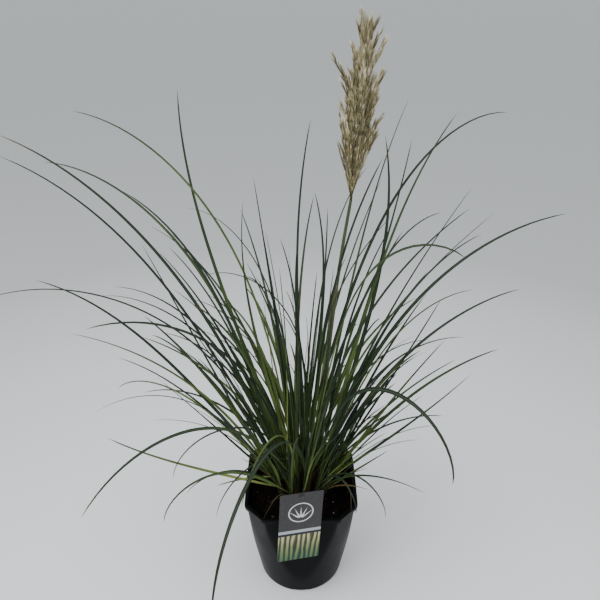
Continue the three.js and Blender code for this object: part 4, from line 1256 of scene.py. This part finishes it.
# the branches that fill the plume's body: all round, then on the right, higher on the right and on the left
innerShares = {"openShare": (0.35, 0.8), "lengthShare": (0.7, 0.6)}
innerBranches = [
    {"count": 104, "share": (0, 0.88), "crowd": 1.35, "side": (0, 360), "turn": 99.5,
        "open": (24, 10), "length": (70, 16), "bow": 6, **innerShares},
    {"count": 46, "share": (0.04, 0.42), "crowd": 1, "side": (-32, 66), "turn": 47,
        "open": (31, 27), "length": (68, 66), "bow": 5, **innerShares},
    {"count": 22, "share": (0.42, 0.74), "crowd": 1, "side": (-45, 90), "turn": 37,
        "open": (19, 14), "length": (64, 42), "bow": 3, **innerShares},
    {"count": 22, "share": (0.08, 0.6), "crowd": 1, "side": (140, 80), "turn": 31,
        "open": (25, 19), "length": (58, 50), "bow": 5, **innerShares}]
plumeShape = {"axisSteps": 60, "axisBreadth": (3.8, 0.7), "axisTone": 0.3, "axisReach": 1.4,
    "axisSpikeletTone": 0.5, "sides": 6, "steps": 14, "straight": 0.7, "seenBow": 0.8,
    "branchBreadth": (1.1, 0.4), "branchTone": 0.35, "branchReach": 0.4, "bare": 0.08, "end": 0.86,
    "tone": (0.05, 0.7), "paintedTopLight": 0.4}
sprayShape = {"gap": (4.5, 7.5), "open": (3, 11), "turn": 137.5, "turnSpread": 60, "upward": (0, 0, 0.12),
    "length": (18, 9), "lengthShare": (0.6, 0.7), "breadths": (0.6, 0.5, 0.45, 0.4), "tone": 0.45, "reach": 0.2}
spikeletShape = {"kinds": 4, "seed": 80, "pick": 5, "gap": 2.6, "open": (2, 9), "size": (0.75, 1.15),
    "smaller": 0.25,
    "faceTurn": 60, "toneSpread": 0.55, "pale": 0.8, "glintPower": 9,
    "girth": ((0, 0.35), (0.38, 1)), "flat": 0.6}
# needles of a spikelet: how many, length, breadth, lean, turn between them and at random, start of each, hair
needleKinds = [
    {"count": 3, "length": (11, 4), "breadth": 0.85, "lean": (2, 5), "turn": (120, 50), "start": (0, 0.8),
        "hair": 0},
    {"count": 2, "length": (12, 6), "breadth": 0.36, "lean": (5, 8), "turn": (180, 90), "start": (0.4, 0),
        "hair": 1}]


def branchByRule(rule, lot, k, heading):
    up = ((k + 0.5) / rule["count"]) ** rule["crowd"]
    return {"root": pointsOn(plumePoints, [lerp(*rule["share"], up)])[0], "heading": heading,
        "open": lerp(*rule["open"], up) * lot.above(*rule["openShare"]),
        "length": lerp(*rule["length"], up) * lot.above(*rule["lengthShare"]), "bow": rule["bow"] * lot.draw()}


# The branches of the frame's plume come first. The inner ones draw from the spikelets' lot.
def makeBranches(frameLot, lot):
    branches = [{"root": pointsOn(plumePoints, [share])[0], "heading": heading, "open": opening,
        "length": length, "bow": opening * plumeShape["seenBow"]}
        for share, heading, opening, length in seenBranches]
    for k in range(otherBranches["count"]):
        heading = otherBranches["turn"] * k + frameLot.around(otherBranches["turnSpread"])
        branches.append(branchByRule(otherBranches, frameLot, k, heading))
    for rule in innerBranches:
        start, spread = rule["side"]
        for k in range(rule["count"]):
            branches.append(branchByRule(rule, lot, k, start + rule["turn"] * k % spread))
    return branches


def branchLine(branch):
    steps = plumeShape["steps"]
    t = (np.arange(steps) + 0.5) / steps
    ways = wayOf(90 - branch["open"] * plumeShape["straight"] - branch["bow"] * t * t, branch["heading"])
    return np.vstack([branch["root"], branch["root"] + np.cumsum(ways * branch["length"] / steps, axis=0)])


# A way tilted from another one by some degrees, to the side that a turn gives.
def tilted(way, tilt, turn):
    first = unit(np.cross(way, (1.0, 0.2, 0)))
    second = np.cross(way, first)
    tilt, turn = math.radians(tilt), math.radians(turn)
    return unit(way * math.cos(tilt) + (first * math.cos(turn) + second * math.sin(turn)) * math.sin(tilt))


# The point at a share of a line, and the line's way there
def stationOn(line, share):
    place = share * (len(line) - 1)
    i = min(int(place), len(line) - 2)
    return lerp(line[i], line[i + 1], place - i), unit(line[i + 1] - line[i])


# Spikelets to be set, one point each, with their ways, faces, sizes and tones
class Spikelets:
    def __init__(self, lot):
        self.lot = lot
        self.points, self.ways, self.faces, self.sizes, self.tones = [], [], [], [], []

    def put(self, point, way, reach, tone, share):
        turn = 360 * self.lot.draw()
        self.points.append(point + tilted(way, 90, turn) * reach)
        self.ways.append(tilted(way, self.lot.within(spikeletShape["open"]) * (1 - share ** 2), turn))
        self.faces.append(tilted(way, 90, turn + spikeletShape["faceTurn"] * self.lot.draw()))
        self.sizes.append(self.lot.within(spikeletShape["size"]) * (1 - spikeletShape["smaller"] * share))
        # painted highlights: a few spikelets, drawn at random, are made far paler, for glints on the silky
        # hairs
        chance = self.lot.draw()
        spread = spikeletShape["toneSpread"] * (chance - 0.5)
        pale = spikeletShape["pale"] * chance ** spikeletShape["glintPower"]
        self.tones.append(min(1, max(0, tone + spread + pale)))

    def alongLine(self, line, start, end, reach, tone):
        total = np.linalg.norm(np.diff(line, axis=0), axis=-1).sum()
        count = max(1, int(total * (end - start) / spikeletShape["gap"]))
        for k in range(count + 1):
            self.put(*stationOn(line, lerp(start, end, k / count)), reach, tone, k / count)

    def scatter(self, name, chosen, shapes, material):
        owner = makeObject(name, np.array(self.points)[chosen])
        lists = {"way": self.ways, "face": self.faces, "size": self.sizes, "tone": self.tones}
        for label, values in lists.items():
            storeValues(owner, label, np.array(values)[chosen])
        growWith(owner, scatterTree, Shapes=shapes, Seed=spikeletShape["pick"], Material=material)
        owner.data.shade_smooth()
        return owner


# A spikelet has a few slender scales and finer hairs beside them. Each is a closed three-sided needle.
def makeSpikelet(name, seed, collection):
    lot = np.random.default_rng(seed)
    points, faces, along, hair = [], [], [], []

    def drawn(limits):
        return limits[0] + limits[1] * lot.random()

    def needle(length, breadth, lean, turn, start, isHair):
        way = wayOf(90 - lean, turn)
        side, other = wayOf(0, turn + 90), np.cross(way, wayOf(0, turn + 90))
        first = len(points)
        for share, girth in spikeletShape["girth"]:
            for x, y in circle(1, 3):
                offset = (side * x + other * y * spikeletShape["flat"]) * breadth / 2 * girth
                points.append(way * (start + length * share) + offset)
                along.append(share)
        points.append(way * (start + length))
        along.append(1)
        hair.extend([isHair] * 7)
        for k in range(3):
            a, b = first + k, first + (k + 1) % 3
            faces.extend([(a, b, b + 3, a + 3), (a + 3, b + 3, first + 6)])
        faces.append((first + 2, first + 1, first))

    for kind in needleKinds:
        for k in range(kind["count"]):
            length, lean = drawn(kind["length"]), drawn(kind["lean"])
            turn = kind["turn"][0] * k + kind["turn"][1] * lot.random()
            needle(length, kind["breadth"], lean, turn, kind["start"][0] + kind["start"][1] * k, kind["hair"])
    made = makeObject(name, points, faces, collection=collection)
    storeValues(made, "along", along)
    storeValues(made, "hair", hair)
    return faceOutward(made)


def makePlumeMaterial():
    silk = Surface("plume", Roughness=0.62, Specular_IOR_Level=0.3)
    tone, along, hair = silk.attributes("tone", "along", "hair")
    shade = tone * 0.62 + along * 0.42 + (silk.noise(silk.place(), 38) - 0.5) * 0.4
    scale = silk.ramp(shade, [
        (0, "241f0f"), (0.25, "423b1f"), (0.52, "695f37"), (0.75, "a09363"), (0.93, "fbf4da")])
    return silk.connect(Base_Color=silk.mix(hair * 0.6, scale, "d9d0ae"))


# Short sprays stand along a branch, with more spikelets on them.
def addSprays(line, length, gap, tone, lines, spikelets, lot):
    bare, end = plumeShape["bare"], plumeShape["end"]
    sprays = int(length * (end - bare) / gap)
    for k in range(sprays):
        share = lerp(bare, end, k / sprays)
        root, way = stationOn(line, share)
        opening = lot.within(sprayShape["open"])
        way = tilted(way, opening, sprayShape["turn"] * k + sprayShape["turnSpread"] * lot.draw())
        way = unit(way + np.array(sprayShape["upward"]))
        reach = lerp(*sprayShape["length"], share ** 1.5) * lot.above(*sprayShape["lengthShare"])
        breadths = sprayShape["breadths"]
        spray = root + way * np.linspace(0, reach, len(breadths))[:, None]
        lines.add(spray, breadths, facesAlong(spray, (0.3, 1, 0)), tone=sprayShape["tone"], hair=0.0)
        spikelets.alongLine(spray, 0.25, 1, sprayShape["reach"], tone)


def makePlume():
    lot = Lot(clump["seed"] + 4)
    branches = makeBranches(Lot(clump["seed"] + 1), lot)
    lines, spikelets = Chains(), Spikelets(lot)
    t = np.linspace(0, 1, plumeShape["axisSteps"])
    axis = pointsOn(plumePoints, t)
    breadths = lerp(*plumeShape["axisBreadth"], t)
    lines.add(axis, breadths, facesAlong(axis, (0, 1, 0)), tone=plumeShape["axisTone"], hair=0.0)
    spikelets.alongLine(axis, 0.01, 1, plumeShape["axisReach"], plumeShape["axisSpikeletTone"])
    low, high = plumePoints[0][2], plumePoints[-1][2]
    for index, branch in enumerate(branches):
        line = branchLine(branch)
        breadths = lerp(*plumeShape["branchBreadth"], np.linspace(0, 1, len(line)))
        faces = facesAlong(line, wayOf(0, branch["heading"]))
        lines.add(line, breadths, faces, tone=plumeShape["branchTone"], hair=0.0)
        tone = lot.above(*plumeShape["tone"])
        # painted light: branches higher up the plume get paler spikelets, as if lit more from above
        tone += plumeShape["paintedTopLight"] * (branch["root"][2] - low) / (high - low)
        spikelets.alongLine(line, 0.06, plumeShape["end"], plumeShape["branchReach"], tone)
        gap = sprayShape["gap"][index >= len(seenBranches)]
        addSprays(line, branch["length"], gap, tone, lines, spikelets, lot)
    section, material = roundSection("branch section", plumeShape["sides"]), makePlumeMaterial()
    finishPiece(lines.grow("plume_branches", section, material), "plume", "plume")
    shapes = bpy.data.collections.new("spikelets")
    made = [makeSpikelet(f"spikelet_{k}", spikeletShape["seed"] + k, shapes)
        for k in range(spikeletShape["kinds"])]
    heights = np.array(spikelets.points)[:, 2]
    third = np.digitize(heights, np.quantile(heights, (1 / 3, 2 / 3)))
    for index, part in enumerate(("low", "middle", "high")):
        finishPiece(spikelets.scatter(f"plume_spikelets_{part}", third == index, shapes, material), "plume")
    discard(section, *made)
    bpy.data.collections.remove(shapes)


makePlume()
print("plume")


# Label card on a pin: a dark card with a silver line and a green printed panel, of a plain design

# shares of the card's width and height, and millimetres for the motif: a ring with five strokes in it
cardShape = {"cornerSteps": 6, "holeSides": 32, "edge": 0.18, "panelTop": 0.385, "lineFoot": 0.42,
    "lineTop": 0.462, "motif": (0.5, 0.72), "ring": 17.5, "ringWidth": 2.1, "strokeTurn": 24,
    "strokeTurns": 2.4, "strokeDrop": 12, "strokeReach": (3, 25), "strokeTaper": 0.075}
pinShape = {"sides": 20, "pegSides": 24, "sharp": 40}


def cardOutline(inset):
    width, top = labelCard["width"] / 2, labelCard["holeBelowTop"]
    bottom, corner = top - labelCard["height"], labelCard["corner"]
    outline = []
    for x, z, start in ((width, top, 0), (-width, top, 90), (-width, bottom, 180), (width, bottom, 270)):
        for turn in np.radians(np.linspace(start, start + 90, cardShape["cornerSteps"])):
            outline.append((x - math.copysign(corner, x) + (corner - inset) * math.cos(turn),
                z - math.copysign(corner, z) + (corner - inset) * math.sin(turn)))
    return outline


def barOnLabel(depths, radii, sides=pinShape["pegSides"]):
    return loftLoops([np.array([onLabel(x, y, z) for x, z in circle(radius, sides)])
        for y, radius in zip(depths, radii)])


def makeCardMaterial():
    card = Surface("printed card", Roughness=0.42, Specular_IOR_Level=0.25)
    uv = card.place("UV")
    across, up = (card.output("ShaderNodeSeparateXYZ", index, {0: uv}) for index in (0, 1))
    width, height = labelCard["width"], labelCard["height"]

    def within(value, limit, soft=0.25):
        return (limit - value).clamped(1 / soft)

    def distance(a, b):
        return (a * a + b * b).math("SQRT")

    # millimetres from the middle of the upper panel
    x, z = (across - cardShape["motif"][0]) * width, (up - cardShape["motif"][1]) * height
    # a ring with a fan of five strokes in it
    ring = within((distance(x, z) - cardShape["ring"]).math("ABSOLUTE"), cardShape["ringWidth"] / 2)
    zFoot = z + cardShape["strokeDrop"]
    reach = distance(x, zFoot)
    step = math.radians(cardShape["strokeTurn"])
    turn = x.math("ARCTAN2", zFoot) * (1 / step)
    offLine = (turn - turn.math("ROUND")).math("ABSOLUTE") * step * reach
    nearest, furthest = cardShape["strokeReach"]
    stroke = within(offLine, (furthest - reach) * cardShape["strokeTaper"])
    stroke = stroke * within(turn.math("ABSOLUTE"), cardShape["strokeTurns"], 0.1)
    stroke = stroke * (within(reach, furthest) * within(nearest, reach))

    # the upper panel is mottled dark grey with a fine slanting weave
    square = (1, height / width, 1)
    slant = card.wave(card.stretched(uv, square, (0, 0, 0.7)), 26, 3, 2, 3)
    dark = card.ramp(card.noise(card.stretched(uv, square), 9, 4, 0.65), [(0.3, "1c1d1e"), (0.7, "323133")])
    upper = card.mix(ring.math("MAXIMUM", stroke), card.mix(slant * 0.5, dark, "535355"), "d3d5d6")

    # the lower panel has soft wavy bands from cream down to green, with dark ones between them
    wave = card.wave(card.stretched(uv, (1, 0.5, 1), (0, 0, 0.25)), 2.6, 5, 3, 1.4)
    panel = card.ramp(up * 1.9 + wave * 0.42,
        [(0.08, "335840"), (0.38, "4a6e4b"), (0.6, "707c4e"), (0.85, "a19c69"), (1, "bfba90")])
    panel = card.mix(card.ramp(wave, [(0.1, 0.9), (0.6, 0.1)]), panel, "1b2b20")
    for edge, shade in (("panelTop", "1f242c"), ("lineFoot", "aeb1b6"), ("lineTop", upper)):
        panel = card.mix(within(cardShape[edge], up, 0.004), panel, shade)
    return card.connect(Base_Color=panel)


def makeLabel():
    half, edge = labelCard["thickness"] / 2, cardShape["edge"]
    loops = [np.array([onLabel(x, y, z) for x, z in cardOutline(inset)])
        for y, inset in ((-half, edge), (-half + edge, 0), (half - edge, 0), (half, edge))]
    middle = labelCard["holeBelowTop"] - labelCard["height"] / 2
    middles = onLabel(0, -half, middle), onLabel(0, half, middle)
    card = faceOutward(makeObject("label_card", *loftLoops(loops, *middles), smooth=False))
    hole = barOnLabel((-3, 3), (labelCard["holeRadius"],) * 2, cardShape["holeSides"])
    cutAway(card, [faceOutward(makeObject("hole", *hole, smooth=False))])
    uv = card.data.uv_layers.new(name="card")
    place = labelPlace.inverted()
    for loop in card.data.loops:
        point = place @ (card.data.vertices[loop.vertex_index].co / mm)
        uv.data[loop.index].uv = (0.5 + point.x / labelCard["width"],
            1 + (point.z - labelCard["holeBelowTop"]) / labelCard["height"])
    card.data.materials.append(makeCardMaterial())
    finishPiece(card, "label_card", "label")


def makePin():
    foot, top = np.array(labelCard["stakeFoot"], float), onLabel(0, labelCard["stakeBehind"], 0)
    way, length = unit(top - foot), np.linalg.norm(top - foot)
    side = unit(np.cross(way, (1, 0, 0)))
    other = np.cross(way, side)
    ends = ((0, 0.3), (2.5, 0.85), (8, 1), (length - 0.8, 1), (length, 0.7))
    loops = [np.array([foot + way * place + (side * x + other * y) * labelCard["stakeRadius"] * share
        for x, y in circle(1, pinShape["sides"])]) for place, share in ends]
    front = -labelCard["thickness"] / 2 - labelCard["gap"]
    head, height = labelCard["headRadius"], labelCard["headHeight"]
    dome = [(front, head * 0.96), (front - 0.15, head), (front - 0.4 * height, head * 0.97),
        (front - 0.75 * height, head * 0.8), (front - height, head * 0.45)]
    peg = barOnLabel((front - 0.2, labelCard["stakeBehind"] + 0.5), (labelCard["pegRadius"],) * 2)
    points, faces = [], []
    for morePoints, moreFaces in (loftLoops(loops), peg, barOnLabel(*zip(*dome))):
        first = len(points)
        points += list(morePoints)
        faces += [tuple(first + k for k in face) for face in moreFaces]
    pin = faceOutward(makeObject("pin", points, faces))
    dark = Surface("dark pin plastic", Roughness=0.38)
    speckle = dark.noise(dark.place(), 300, 2)
    pin.data.materials.append(dark.connect(Base_Color=dark.ramp(speckle, [(0.3, "101112"), (0.7, "1b1c1e")])))
    pin.data.set_sharp_from_angle(angle=math.radians(pinShape["sharp"]))
    finishPiece(pin, "pin_plastic", "label_pin")


makeLabel()
makePin()
print("label and pin")
